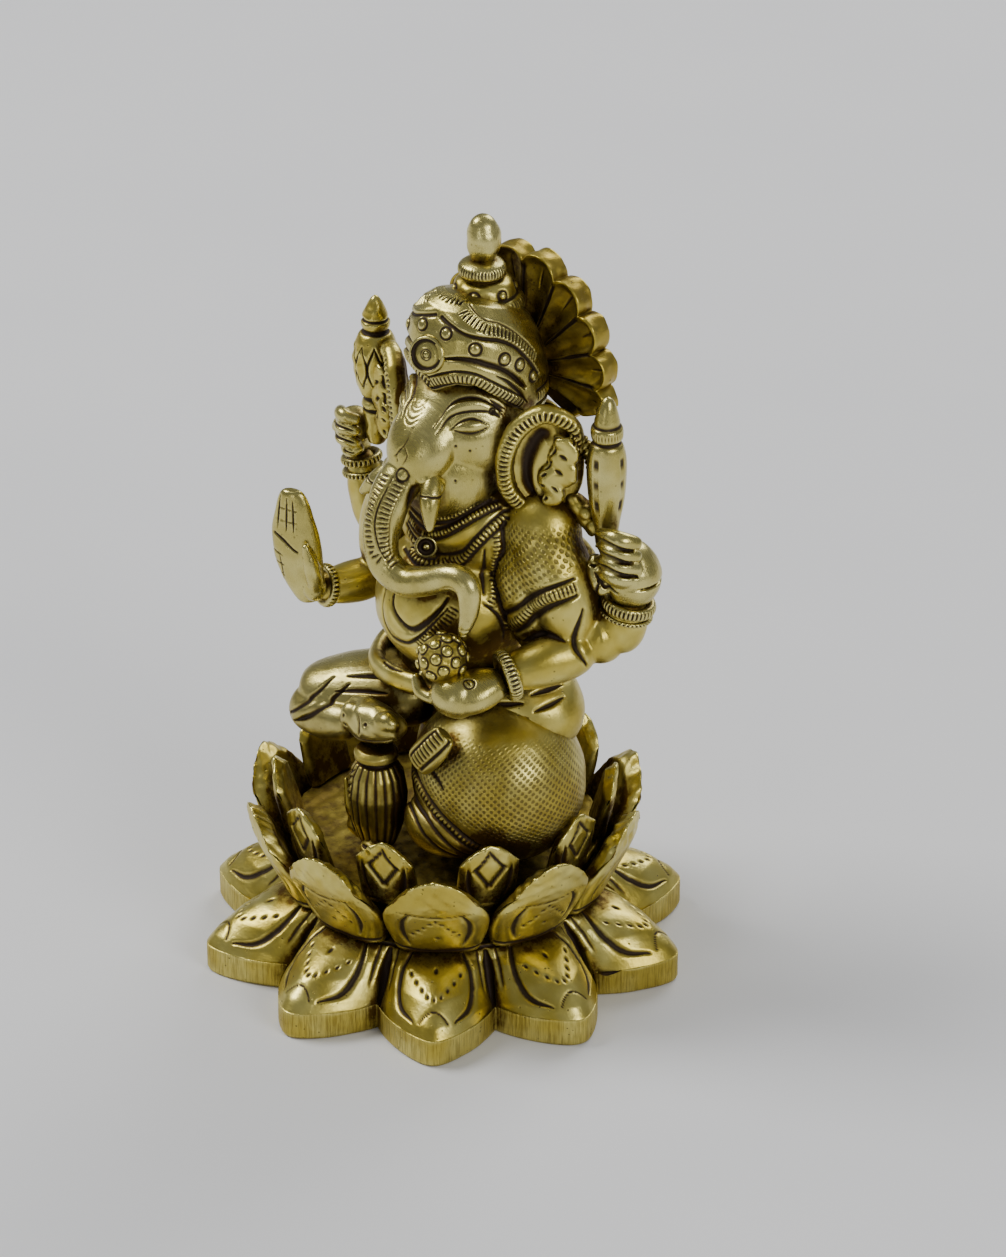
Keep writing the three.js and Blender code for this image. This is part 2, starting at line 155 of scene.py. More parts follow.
def curve_points(points, count):
    """A smooth curve through given points, as count points, evenly spread over its stretches."""
    points = np.asarray(points, float)
    padded = np.vstack([2 * points[0] - points[1], points, 2 * points[-1] - points[-2]])
    place = np.linspace(0, len(points) - 1, count)
    leg = np.minimum(place.astype(int), len(points) - 2)
    t = (place - leg)[:, None]
    a, b, c, d = padded[leg], padded[leg + 1], padded[leg + 2], padded[leg + 3]
    return 0.5 * (2 * b + (c - a) * t + (2 * a - 5 * b + 4 * c - d) * t**2 + (3 * b - a - 3 * c + d) * t**3)


def limb(path, sizes, facing=(0, 0, 1), blunt=0.45, sides=32, rings=48, ripple=None):
    """A sphere drawn out along a curve; sizes holds a radius, or an (across, deep) pair, for each point."""
    bpy.ops.object.select_all(action="DESELECT")
    bpy.ops.mesh.primitive_uv_sphere_add(segments=sides, ring_count=rings, radius=1)
    piece = bpy.context.active_object
    unit = read_points(piece.data)
    lean = np.arccos(np.clip(unit[:, 2], -1, 1))
    along = (1 - unit[:, 2]) / 2
    around = np.arctan2(unit[:, 1], unit[:, 0])
    samples = 400
    spine = curve_points(path, samples)
    pairs = [size if isinstance(size, (tuple, list)) else (size, size) for size in sizes]
    girth = curve_points(pairs, samples)
    tangents = np.gradient(spine, axis=0)
    tangents /= np.linalg.norm(tangents, axis=1)[:, None]
    index = np.clip((along * (samples - 1)).astype(int), 0, samples - 2)
    part = (along * (samples - 1) - index)[:, None]
    mix = lambda rows: rows[index] * (1 - part) + rows[index + 1] * part
    tangent = mix(tangents)
    deep = np.asarray(facing, float) - (tangent @ np.asarray(facing, float))[:, None] * tangent
    deep /= np.linalg.norm(deep, axis=1)[:, None]
    across = np.cross(tangent, deep)
    size = mix(girth)
    swell = np.abs(np.sin(lean)) ** blunt
    swell[np.abs(unit[:, 2]) > 0.99999] = 0
    if ripple:
        reach = np.concatenate([[0], np.cumsum(np.linalg.norm(np.diff(spine, axis=0), axis=1))])
        pitch, height = ripple
        wave = np.abs(np.cos(math.pi * np.interp(along * (samples - 1), np.arange(samples), reach) / pitch))
        swell = swell * (1 + height * (wave - 0.5) / size.mean())
    place = mix(spine) + across * (np.cos(around) * size[:, 0] * swell)[:, None]
    place = place + deep * (np.sin(around) * size[:, 1] * swell)[:, None]
    write_points(piece.data, place * MM)
    clean_mesh(piece)
    return settle(piece, "lump")


def fuse(name, lumps, voxel=0.3, soften=6):
    """Joins lumps into one skin, as wax is worked into one model, and smooths it."""
    select_only(*lumps)
    if len(lumps) > 1:
        bpy.ops.object.join()
    piece = bpy.context.active_object
    apply_modifier(piece, "REMESH", mode="VOXEL", voxel_size=voxel * MM, adaptivity=0.0)
    apply_modifier(piece, "SMOOTH", factor=0.5, iterations=soften)
    return settle(piece, name)


def wrapped(name, columns, rows, shape):
    """A grid bent into a closed form. shape takes how far across and up each point is and gives its place
    in millimetres and a dictionary of finish channels."""
    bpy.ops.object.select_all(action="DESELECT")
    bpy.ops.mesh.primitive_grid_add(x_subdivisions=columns, y_subdivisions=rows, size=2)
    piece = bpy.context.active_object
    flat = (read_points(piece.data)[:, :2] + 1) / 2
    place, channels = shape(flat[:, 0], flat[:, 1])
    write_points(piece.data, place * MM)
    for channel, values in channels.items():
        write_finish(piece.data, channel, values)
    clean_mesh(piece)
    return settle(piece, name)


def turned(name, axis, profile, steps=40, levels=2):
    """A turned piece: a profile of (radius, height) points is extruded point by point and spun upright."""
    bpy.ops.object.select_all(action="DESELECT")
    bpy.ops.mesh.primitive_plane_add(size=MM)
    piece = bpy.context.active_object
    bpy.ops.object.mode_set(mode="EDIT")
    bpy.ops.mesh.select_all(action="SELECT")
    bpy.ops.mesh.merge(type="CENTER")
    bpy.ops.transform.translate(value=(profile[0][0] * MM, 0, profile[0][1] * MM))
    for (radius, height), (next_radius, next_height) in zip(profile[:-1], profile[1:]):
        step = ((next_radius - radius) * MM, 0, (next_height - height) * MM)
        bpy.ops.mesh.extrude_region_move(TRANSFORM_OT_translate={"value": step})
    bpy.ops.mesh.select_all(action="SELECT")
    bpy.ops.mesh.spin(steps=steps, angle=2 * math.pi, center=(0, 0, 0), axis=(0, 0, 1))
    bpy.ops.object.mode_set(mode="OBJECT")
    clean_mesh(piece)
    apply_modifier(piece, "SUBSURF", levels=levels, render_levels=levels)
    piece.location = (axis[0] * MM, axis[1] * MM, 0)
    return settle(piece, name)


def place(piece, centre, turn=(0, 0, 0)):
    """Turns a piece about the origin, then moves it to its centre."""
    select_only(piece)
    piece.rotation_euler = turn
    piece.location = [c * MM for c in centre]
    return settle(piece, piece.name)


def hollow_of(mesh, passes=3):
    """How the surface bends round each point, per millimetre: above 0 in hollows and below 0 on crests."""
    points = read_points(mesh) / MM
    normals = read_normals(mesh)
    ends = np.empty(len(mesh.edges) * 2, dtype=np.int32)
    mesh.edges.foreach_get("vertices", ends)
    first, second = ends.reshape(-1, 2).T
    step = points[second] - points[first]
    size = np.maximum((step**2).sum(1), 1e-6)
    count = len(points)
    both = np.bincount(first, minlength=count) + np.bincount(second, minlength=count)
    both = np.maximum(both, 1)
    bend = np.bincount(first, (step * normals[first]).sum(1) / size, count)
    bend -= np.bincount(second, (step * normals[second]).sum(1) / size, count)
    bend /= both
    for _ in range(passes):
        near = np.bincount(first, bend[second], count) + np.bincount(second, bend[first], count)
        bend = 0.5 * bend + 0.5 * near / both
    return bend


def dress(piece, nodes, slot):
    """Finishes a piece: it rides on the one body, stands for its CAD nodes and takes its slot's brass."""
    mesh = piece.data
    mesh.calc_loop_triangles()
    count = len(mesh.loop_triangles)
    if count < 100:
        raise RuntimeError(f"{piece.name} came out empty")
    if count > MOST_TRIANGLES:
        apply_modifier(piece, "DECIMATE", ratio=MOST_TRIANGLES / count)
    select_only(piece)
    bpy.ops.object.shade_smooth()
    finish_of(mesh)
    piece["brass"] = slot
    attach(piece, "root")
    if nodes:
        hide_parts(*nodes)
    return piece


# ---- chasing: lines, ribs and dots cut into a surface ----
class Chaser:
    """Gathers the cuts for one piece, then moves its surface and marks where dark lacquer stays."""

    def __init__(self, piece):
        self.piece = piece
        self.points = read_points(piece.data) / MM
        self.normals = read_normals(piece.data)
        self.move = np.zeros(len(self.points))
        self.dark = read_finish(piece.data)[:, 0].astype(float)
        self.tree = BVHTree.FromObject(piece, bpy.context.evaluated_depsgraph_get())
        self.scale = bpy.context.scene.idol_look.chase_depth

    def drape(self, line, count=12):
        """Lays a line of given points on the surface."""
        fine = curve_points(line, count * len(line)) if len(line) > 1 else np.asarray(line, float)
        return np.array([self.tree.find_nearest(Vector(point * MM))[0] for point in fine]) / MM

    def drop(self, line, count=12):
        """Lays a line of (x, y) pairs on the surface, from above."""
        fine = curve_points(line, count * len(line)) if len(line) > 1 else np.asarray(line, float)
        hits = [self.tree.ray_cast(Vector((x, y, 200)) * MM, Vector((0, 0, -1)))[0] for x, y in fine]
        return np.array([hit for hit in hits if hit is not None]) / MM

    def wrap(self, axis, line, count=12):
        """Lays a line of (azimuth in degrees from the front, height) pairs on the surface, from outside."""
        fine = curve_points(line, count * len(line)) if len(line) > 1 else np.asarray(line, float)
        found = []
        for azimuth, height in fine:
            outward = Vector((math.sin(math.radians(azimuth)), -math.cos(math.radians(azimuth)), 0))
            start = Vector((axis[0], axis[1], height)) * MM + outward * 0.06
            hit = self.tree.ray_cast(start, -outward)[0]
            if hit is not None:
                found.append(np.array(hit) / MM)
        return np.array(found)

    def measure(self, line, reach=2.5):
        """Which points lie near a draped line, how far off it they are, how far along it, and its length."""
        near = np.all((self.points > line.min(0) - reach) & (self.points < line.max(0) + reach), axis=1)
        spots = self.points[near]
        best = np.full(len(spots), 1e9)
        place = np.zeros(len(spots))
        length = 0.0
        for a, b in zip(line[:-1], line[1:]):
            step = b - a
            size = np.linalg.norm(step)
            if size < 1e-6:
                continue
            t = np.clip((spots - a) @ step / size**2, 0, 1)
            gap = np.linalg.norm(spots - a - t[:, None] * step, axis=1)
            closer = gap < best
            best[closer] = gap[closer]
            place[closer] = length + t[closer] * size
            length += size
        return near, best, place, length

    def cut(self, near, profile, depth, darkening=1.0):
        self.move[near] -= self.scale * depth * profile
        self.dark[near] = np.maximum(self.dark[near], darkening * profile)

    def groove(self, line, width=0.45, depth=0.35, taper=True, darkening=1.0):
        near, gap, place, length = self.measure(line)
        reach = place / length
        wide = 0.8 * width * (0.3 + 0.7 * np.sin(math.pi * np.clip(reach, 0.02, 0.98)) if taper else 1)
        self.cut(near, np.exp(-((gap / wide) ** 2)), depth, darkening)

    def ridge(self, line, width=0.8, height=0.35):
        near, gap, place, length = self.measure(line, reach=3)
        ends = np.clip(6 * np.minimum(place, length - place) / length, 0, 1)
        self.move[near] += height * np.exp(-((gap / width) ** 4)) * ends

    def ribs(self, line, half=0.9, pitch=0.9, depth=0.28, darkening=0.8):
        near, gap, place, length = self.measure(line)
        count = max(1, round(length / pitch))
        comb = np.clip(0.5 - 0.9 * np.cos(2 * math.pi * count * place / length), 0, 1) ** 2
        comb *= np.exp(-((gap / half) ** 6)) * (place > 1e-3) * (place < length - 1e-3)
        self.cut(near, comb, depth, darkening)

    def close_to(self, centre, radius):
        offset = self.points - centre
        near = np.linalg.norm(offset, axis=1) < radius
        return near, offset[near]

    def ring(self, centre, radius, width=0.28, depth=0.25, darkening=1.0):
        near, offset = self.close_to(centre, radius + 1.5)
        gap = np.linalg.norm(offset, axis=1) - radius
        self.cut(near, np.exp(-((gap / width) ** 2)), depth, darkening)

    def stud(self, centre, radius, height=0.4):
        near, offset = self.close_to(centre, radius)
        self.move[near] += height * np.sqrt(1 - (np.linalg.norm(offset, axis=1) / radius) ** 2)
        self.ring(centre, radius * 1.15, width=0.24, depth=0.2)

    def swell(self, centre, along, sizes, height):
        """Raises, or for a negative height sinks, a smooth oval; sizes are its half length and half width."""
        near, offset = self.close_to(centre, 1.6 * max(sizes))
        along = np.asarray(along, float) / np.linalg.norm(along)
        run = offset @ along
        side = np.sqrt(np.maximum((offset**2).sum(1) - run**2, 0))
        self.move[near] += height * np.exp(-(((run / sizes[0]) ** 2 + (side / sizes[1]) ** 2) ** 1.5))

    def dot(self, centre, along, sizes=(0.6, 0.28), depth=0.25):
        near, offset = self.close_to(centre, 2 * max(sizes))
        along = np.asarray(along, float) / np.linalg.norm(along)
        run = offset @ along
        side = np.sqrt(np.maximum((offset**2).sum(1) - run**2, 0))
        self.cut(near, np.exp(-(((run / sizes[0]) ** 2 + (side / sizes[1]) ** 2) ** 1.5)), depth)

    def finish(self):
        write_points(self.piece.data, (self.points + self.normals * self.move[:, None]) * MM)
        write_finish(self.piece.data, 0, self.dark)
        return self.piece


def both_sides(line):
    """A line of (azimuth, height) pairs and its mirror image."""
    return [line, [(-azimuth, height) for azimuth, height in line]]


def ripple_field(points, seed, size):
    """A smooth uneven field, about -1 to 1, for hand-worked surfaces; size is its grain in millimetres."""
    rng = np.random.default_rng(seed)
    total = np.zeros(len(points))
    for _ in range(7):
        direction = rng.normal(size=3)
        direction /= np.linalg.norm(direction)
        frequency = 2 * math.pi / (size * rng.uniform(0.7, 1.6))
        total += np.sin(points @ direction * frequency + rng.uniform(0, 6.28))
    return total / 3.5


def roughen(piece, seed, size=4.0, height=0.12):
    points = read_points(piece.data) / MM
    normals = read_normals(piece.data)
    write_points(piece.data, (points + normals * (height * ripple_field(points, seed, size))[:, None]) * MM)


# ---- the lotus ----
def wrapped_angle(angle):
    return angle - PITCH * np.round(angle / PITCH)


def make_foot():
    """The ten-petal foot: one turned casting whose rim is pressed in between the petals."""
    tip, valley, wall, seam = 45.0, 34.4, 5.2, 27.5
    steps = [0, 0.02, 0.1, 0.24, 0.4, 0.56, 0.7, 0.78, 0.81, 0.95, 0.96, 1]
    radii = [0, 24.5, seam, 30, 34.5, 39.5, 43.4, 44.7, 45, 45, 44.6, 0]
    heights = [14, 14, 14, 13.4, 12, 9.8, 7.1, 5.6, wall, 0.35, 0, 0]

    def shape(across, up):
        angle = LOTUS_TURN + 2 * math.pi * across
        radius = np.interp(up, steps, radii)
        height = np.interp(up, steps, heights)
        side = np.abs(wrapped_angle(angle - LOTUS_TURN)) / (PITCH / 2)
        ramp = np.clip((radius - 25.2) / (tip - 25.2), 0, 1)
        reach = ramp * ramp * (3 - 2 * ramp)
        top = (up > 0.03) & (up < 0.8)
        outside = np.clip((radius - seam) / 3.5, 0, 1)
        crown = 0.35 * (1 - side**2)
        crown *= np.clip((radius - seam) / 8, 0, 1) * np.clip((tip - radius) / 5, 0, 1)
        bevel = 0.7 * np.clip((side - 0.62) / 0.38, 0, 1) ** 2
        height = height + np.where(top, (crown - (1.5 * side**3 + bevel) * outside), 0)
        blunt = (np.sqrt(side**2 + 0.0121) - 0.11) / 0.896
        radius = radius - (tip - valley) * blunt**1.12 * reach
        place = np.stack([radius * np.sin(angle), -radius * np.cos(angle), height], 1)
        filed = np.abs(up - 0.885) < 0.085
        return place, {3: filed.astype(float)}

    foot = wrapped("lower_lotus_foot", PETALS * 92, 88, shape)
    chase = Chaser(foot)
    for index in range(PETALS):
        turn = LOTUS_TURN + index * PITCH
        out = np.array([math.sin(turn), -math.cos(turn), 0])
        aside = np.array([math.cos(turn), math.sin(turn), 0])
        wobble = math.sin(2.3 * index + 0.7)

        def line(pairs):
            return chase.drop([(out * radius + aside * side)[:2] for side, radius in pairs])

        for hand in (-1, 1):
            depth = 0.5 + 0.08 * wobble * hand
            chase.groove(line([(4.5 * hand, 28.2), (6.2 * hand, 31.6), (6.7 * hand, 34.8), (6 * hand, 38),
                               (3.9 * hand, 41.2)]), 0.8, depth)
            for side, radius in ((1.2, 38.4), (2.3, 36.8), (3.4, 35), (4.4, 33)):
                chase.dot(line([(side * hand + 0.1 * wobble, radius + 0.15 * hand * wobble)])[0], out,
                          (0.78, 0.3), 0.3)
        chase.dot(line([(0, 39)])[0], out, (0.8, 0.3), 0.3)
        chase.dot(line([(0.2 * wobble, 33)])[0], out, (0.9, 0.36), 0.3)
        chase.groove(line([(-2.7, 42.1), (-1.4, 41.3), (0, 41), (1.4, 41.3), (2.7, 42.1)]), 0.26, 0.22,
                     taper=False)
        gap = turn + PITCH / 2
        cleft = [np.array([math.sin(gap) * r, -math.cos(gap) * r]) for r in (27.8, 29.6, 31.6, 33.4)]
        chase.groove(chase.drop(cleft), 1.1, 0.8)
        for shift in (-1.7, 1.7):
            beside = [spot + np.array([math.cos(gap), math.sin(gap)]) * shift for spot in cleft]
            chase.groove(chase.drop(beside), 0.45, 0.3, darkening=0.8)
    seam_ring = [(math.degrees(2 * math.pi * i / 60), 14.1) for i in range(61)]
    chase.groove(chase.drape([(27.7 * math.sin(math.radians(a)), -27.7 * math.cos(math.radians(a)), z)
                              for a, z in seam_ring], 3), 0.5, 0.3, taper=False)
    chase.finish()
    roughen(foot, seed=3, size=9, height=0.07)
    return dress(foot, ["lower_lotus"], "lotus_brass")


def petal(name, turn, base, size, outline, decorate, rows=(36, 22, 26), columns=72):
    """A thick petal bent round the lotus, closed at its sides, with a rough rounded lip."""
    base_height, base_radius, tip_radius, height, thickness, half_width, cup, shoulder = base
    loop = sum(rows)
    front, lip = rows[0] / loop, (rows[0] + rows[1]) / loop

    def shape(across, up):
        side = np.sin((across - 0.5) * math.pi)
        crest = 0.45 * front + 0.55 * lip
        steps = [0, 0.02, front, crest, lip, 0.98, 1]
        rise = np.interp(up, steps, [0, 0, shoulder, 0.97, 0.9, 0, 0])
        skin = np.interp(up, steps, [0, 1, 1, 0.1, -1, -1, 0])
        bulge = np.sin(math.pi * np.clip((up - front) / (lip - front), 0, 1))
        width, droop = outline(side, rise)
        wall = 0.5 * thickness * (1 - 0.22 * rise) * skin * np.sqrt(np.clip(1 - np.abs(side) ** 7, 0, 1))
        belly = cup * (1 - side**2) * np.sin(math.pi * np.minimum(1, 0.8 * rise + 0.1))
        radius = base_radius + (tip_radius - base_radius) * rise**1.15 + wall + belly + 0.35 * bulge
        angle = turn - side * half_width * width
        top = base_height + rise * height * (1 - droop) + 0.3 * bulge * (1 - side**6)
        place = np.stack([radius * np.sin(angle), -radius * np.cos(angle), top], 1)
        # Painted shade with tarnish: the lower inner face, deep in the lotus, is marked darker.
        inner = np.clip((skin < -0.5) * (1 - rise) * 1.4, 0, 1)
        return place, {1: inner}

    piece = wrapped(name, columns, loop, shape)
    chase = Chaser(piece)
    out = np.array([math.sin(turn), -math.cos(turn), 0])
    aside = np.array([math.cos(turn), math.sin(turn), 0])

    def line(pairs):
        """Pairs are millimetres across the petal and share of its height, on the outer face."""
        spots = []
        for across, rise in curve_points(pairs, 12 * len(pairs)) if len(pairs) > 1 else pairs:
            reach = base_radius + (tip_radius - base_radius) * rise**1.15 + 12
            start = Vector((out * reach + aside * across) * MM)
            start.z = (base_height + rise * height) * MM
            hit = chase.tree.ray_cast(start, Vector(-out))[0]
            spots += [np.array(hit) / MM] if hit is not None else []
        return np.array(spots)

    decorate(chase, line, aside)
    points = chase.points
    lips = np.clip((points[:, 2] - base_height - 0.6 * height) / 3, 0, 1)
    chase.move += lips * 0.2 * ripple_field(points, size, 2.2)
    chase.finish()
    roughen(piece, size + 50, 6, 0.08)
    return piece


def outer_outline(side, rise):
    return 0.9 + 0.12 * np.sin(math.pi * rise) - 0.26 * rise**4, 0.27 * side**2


def inner_outline(side, rise):
    return 1 - 0.1 * rise**3, 0.3 * np.abs(side) ** 1.4


def make_petals():
    """Ten broad outer petals and ten narrow inner ones standing in the gaps between them."""

    def chase_outer(chase, line, aside):
        for hand in (-1, 1):
            chase.groove(line([(4.9 * hand, 0.56), (6 * hand, 0.44), (6 * hand, 0.28), (4.9 * hand, 0.12)]),
                         0.7, 0.55)
            for across, rise in ((1.1, 0.44), (2.2, 0.38), (3.2, 0.33), (4.2, 0.28)):
                chase.dot(line([(across * hand, rise)])[0], aside, (0.36, 0.34), 0.28)
        chase.dot(line([(0, 0.48)])[0], aside, (0.36, 0.4), 0.28)
        chase.dot(line([(0.3, 0.24)])[0], aside, (0.42, 0.36), 0.28)
        chase.groove(line([(-7, 0.6), (-3.4, 0.56), (0, 0.54), (3.4, 0.56), (7, 0.6)]), 0.24, 0.2,
                     darkening=0.7)
        chase.groove(line([(-7.6, 0.05), (-3, 0.03), (3, 0.03), (7.6, 0.05)]), 0.55, 0.3, taper=False)

    def chase_inner(chase, line, _aside):
        diamond = [(0, 0.86), (2.7, 0.6), (0, 0.3), (-2.7, 0.6), (0, 0.86)]
        for start, end in zip(diamond[:-1], diamond[1:]):
            middle = ((start[0] + end[0]) / 2, (start[1] + end[1]) / 2)
            chase.groove(line([start, middle, end]), 0.42, 0.42, taper=False)
        for hand in (-1, 1):
            chase.groove(line([(4.1 * hand, 0.62), (3.7 * hand, 0.3), (2.6 * hand, 0.1)]), 0.5, 0.45)

    outer = (14.4, 27.1, 35.6, 18.8, 4.6, PITCH * 0.49, 1.4, 0.68)
    inner = (23.95, 27.8, 30.6, 13.2, 3.2, PITCH * 0.31, 0.4, 0.72)
    for index in range(PETALS):
        label = f"{index + 1:02d}"
        turn = LOTUS_TURN + index * PITCH
        dress(petal(f"outer_petal_{label}_cup", turn, outer, 10 + index, outer_outline, chase_outer),
              [f"outer_petal_{label}"], "lotus_brass")
        dress(petal(f"inner_petal_{label}_gable", turn + PITCH / 2, inner, 30 + index, inner_outline,
                    chase_inner,
                    (34, 10, 24), 48), [f"inner_petal_{label}"], "lotus_brass")


def make_bowl():
    """The inside of the lotus, in darker brass: a rough floor with a short rim."""
    steps = [0, 0.35, 0.42, 0.46, 0.6, 0.8, 0.9, 1]
    radii = [0, 27.2, 28.2, 28.5, 27.2, 26, 25.2, 0]
    heights = [23.6, 23.7, 23.6, 22.9, 20, 16, 14.3, 14.3]

    def shape(across, up):
        angle = 2 * math.pi * across
        radius = np.interp(up, steps, radii)
        place = np.stack([radius * np.sin(angle), -radius * np.cos(angle), np.interp(up, steps, heights)],
                         1)
        # Painted shade with tarnish: the whole floor is marked darker, at 0.75.
        return place, {1: np.full(len(up), 0.75)}

    bowl = wrapped("upper_lotus_floor", 200, 90, shape)
    roughen(bowl, 5, 2.6, 0.16)
    return dress(bowl, ["upper_lotus_bowl"], "dark_brass")


# ---- body and limbs ----
def make_body():
    """Torso, shoulders and all four arms, worked as one wax, with cloth, armlet, belt and belly lines."""
    lumps = [
        ball((1.8, 0.8, 71), (14.9, 13.5, 13.6)), ball((2.4, 3.8, 86), (13.7, 10.3, 10.6)),
        ball((9.5, 5.6, 52), (16.7, 11.1, 10.6)), ball((-5, 6, 50), (11, 9, 10)),
        ball((17, 6.6, 86.5), (8.1, 6.9, 9.1)), ball((-11.8, 6.5, 86.5), (7.1, 6.3, 8.1)),
        limb([(4, 8, 24.2), (4, 8, 34), (3, 7, 44)], [(15, 10), (16, 11), (15, 10)], (0, 1, 0), 0.25),
        limb([(17.5, 5.4, 89), (23, 4.8, 80), (27.4, 4.8, 70)], [7.3, 6.7, 5.6]),
        limb([(29, 6.4, 68.8), (25.6, -1, 67.6), (21, -8, 65.6)], [5, 4.5, 3.8]),
        limb([(-14.5, 5.5, 87.5), (-17.6, 4.6, 77.5), (-18.6, 3.4, 69)], [6.3, 5.5, 4.7]),
        limb([(-18.4, 4, 67.6), (-21, -2, 67), (-22.9, -8.4, 67.8)], [4.3, 3.9, 3.3]),
        limb([(-15, 9.6, 85.5), (-20.6, 10.4, 76), (-24.8, 10.6, 70.4)], [5.1, 4.7, 4.2]),
        limb([(-25, 10.6, 70.2), (-27.8, 10.3, 78), (-29.6, 9.9, 86.2)], [4.2, 3.8, 3.1]),
        limb([(18, 10.5, 85), (25.4, 10.6, 74.6), (29.6, 10.4, 69.4)], [5.3, 5.3, 5.2]),
        limb([(30.2, 10.6, 68.9), (32.2, 11.2, 73), (33.3, 11.9, 78.4)], [5.1, 4.7, 4.1]),
    ]
    lumps += [
        limb([(14.5, 4, 86), (18.5, 3.2, 76), (20, 3.4, 66)], [6.5, 6, 4.4]),
        limb([(27.2, 6.2, 70.6), (29.4, 8.6, 70.4), (31, 10.6, 71.4)], [4.6, 5.2, 4.6]),
        ball((1, 5.6, 57.2), (15.6, 10.8, 5.6)),
    ]
    belt = [(17.2, 2), (11.8, -7.6), (1, -11), (-10, -7.2), (-15.5, 4), (-9.6, 13.8), (1, 17), (12, 13.6),
            (17.2, 2)]
    lumps.append(limb([(x, y, 58.2 + 0.12 * x) for x, y in belt], [(1.6, 2.2)] * 9, blunt=0.1, rings=90))
    body = fuse("torso_and_arms", lumps, voxel=0.3, soften=14)
    chase = Chaser(body)

    # The belly is ringed by nested lines inside a ribbed border.
    chase.groove(chase.drape([(-1.6, -11, 76.6), (-1.2, -11.8, 73.3), (1.4, -12.4, 71), (4, -12.1, 70.6),
                              (6.7, -11.6, 72.7), (8.4, -10.1, 75.3), (8.9, -8.7, 77.3)]), 0.75, 0.65)
    chase.groove(chase.drape([(-4, -10.6, 76), (-4.1, -11.3, 70), (-2.4, -11.4, 66.8), (1.9, -12.3, 66.9),
                              (5, -11.9, 69.4), (7.7, -11.3, 72.6), (9.5, -9.3, 75.6)]), 0.5, 0.4)
    chase.ridge(chase.drape([(-2.9, -11, 76), (-2.8, -11.6, 71.8), (-0.8, -12, 68.8), (3.2, -12.2, 68.6),
                             (6.3, -11.6, 71.4), (8.5, -10.2, 74.6)]), 0.9, 0.3)
    chase.ribs(chase.drape([(4.6, -12, 67.2), (7.6, -11.4, 70.7), (9.6, -10.1, 73.2), (10.8, -8.6, 76)]), 1,
               0.85)

    # A pecked cloth lies over the left shoulder, edged by a sacred thread and an armlet.
    cloth_edge = chase.drape([(13.9, 0, 90), (14.2, 0.2, 84.8), (14.8, 0.3, 77.4), (16.2, 0.2, 73)])
    chase.groove(cloth_edge, 0.5, 0.4, taper=False)
    thread = chase.drape([(13.4, -1, 88.4), (13.6, -0.8, 82.4), (13.3, -0.9, 78.9), (13.2, -3.6, 74.8)])
    chase.ridge(thread, 0.9, 0.45)
    chase.ribs(thread, 0.85, 0.8, 0.3)
    chase.groove(chase.drape([(12.5, -3, 86), (12.3, -3, 81), (12.3, -3.6, 77)]), 0.5, 0.35)
    chase.groove(chase.drape([(13.6, -4.8, 76.4), (15.3, -2.8, 73.9), (15.9, -2, 70.8), (15.7, -2, 68.3)]),
                 0.4, 0.35)
    chase.groove(chase.drape([(15.8, 1.6, 73.4), (20, -0.9, 77.4), (24.4, -1.4, 81.2), (28.2, 3, 83.5)]),
                 0.85, 0.7)
    chase.groove(chase.drape([(18.6, 0.4, 71.6), (22.4, -1.2, 75), (26, -0.8, 78.6), (29.4, 2.6, 80.7)]),
                 0.85, 0.7)
    armlet = chase.drape([(16.6, 1.2, 71.6), (21, -1, 76), (25.2, -1.2, 80), (28.8, 3, 82.1)])
    chase.ridge(armlet, 1, 0.35)
    chase.ribs(armlet, 1, 0.8, 0.3)
    chase.groove(chase.drape([(19.6, 1.6, 70.6), (24.1, 0.4, 72.2), (28.4, 0.5, 71.8)]), 0.6, 0.45)
    chase.groove(chase.drape([(30.2, 3.2, 78), (29.5, 2, 73.8), (30.4, 1.2, 70.8), (31.8, 2.6, 67.4)]),
                 0.75, 0.6)

    # Necklace strands and a jewelled band cross the chest.
    for strand, half, pitch in (
        ([(-3, -4.9, 90.6), (1.5, -5.4, 89.8), (5.1, -4.9, 90.6), (7.5, -3.5, 91.8), (10.1, 1.2, 94)], 0.6,
         0.7),
        ([(-4, -6.2, 87.8), (1.2, -6.8, 86.6), (5.3, -5.9, 88), (8.1, -4.2, 90.2), (11.7, 1.6, 93)], 0.6,
         0.75),
        ([(-5, -6.9, 84.6), (2, -7.6, 81.6), (8.3, -5, 83.4), (10.9, -4.1, 86.5), (12.5, -1.9, 89.3),
          (13.6, 1.6, 91.4)], 0.95, 0.85),
    ):
        line = chase.drape(strand)
        chase.ridge(line, half + 0.1, 0.5)
        chase.ribs(line, half, pitch, 0.35)
        for lift in (-1, 1):
            chase.groove(chase.drape([(x, y, z + lift * (half + 0.45)) for x, y, z in strand]), 0.42, 0.35,
                         taper=False)

    # Leaf cuts fold the waistcloth below the belt.
    for line, width in (
        ([(13.4, -5.4, 55.4), (15.8, -3.4, 55.9), (19.8, -1, 56.8)], 0.6),
        ([(20.4, 0.6, 58), (21.6, 3.4, 58.3), (22.4, 6.4, 58.5)], 0.6),
        ([(22, -0.4, 55.7), (23.2, 2.4, 56.3), (23.8, 5.2, 56.9)], 0.55),
        ([(6.8, -8.8, 52), (11, -8.4, 53.6), (15.4, -7.2, 54.6), (21.3, -1.4, 54.4)], 0.8),
        ([(-6, -9.8, 61.6), (-3, -10.8, 60.6), (0, -11.2, 60.2)], 0.55),
        ([(-12, 13, 56.4), (0, 16.6, 57.6), (12, 13.4, 59)], 0.5),
    ):
        chase.groove(chase.drape(line), width, 0.55)

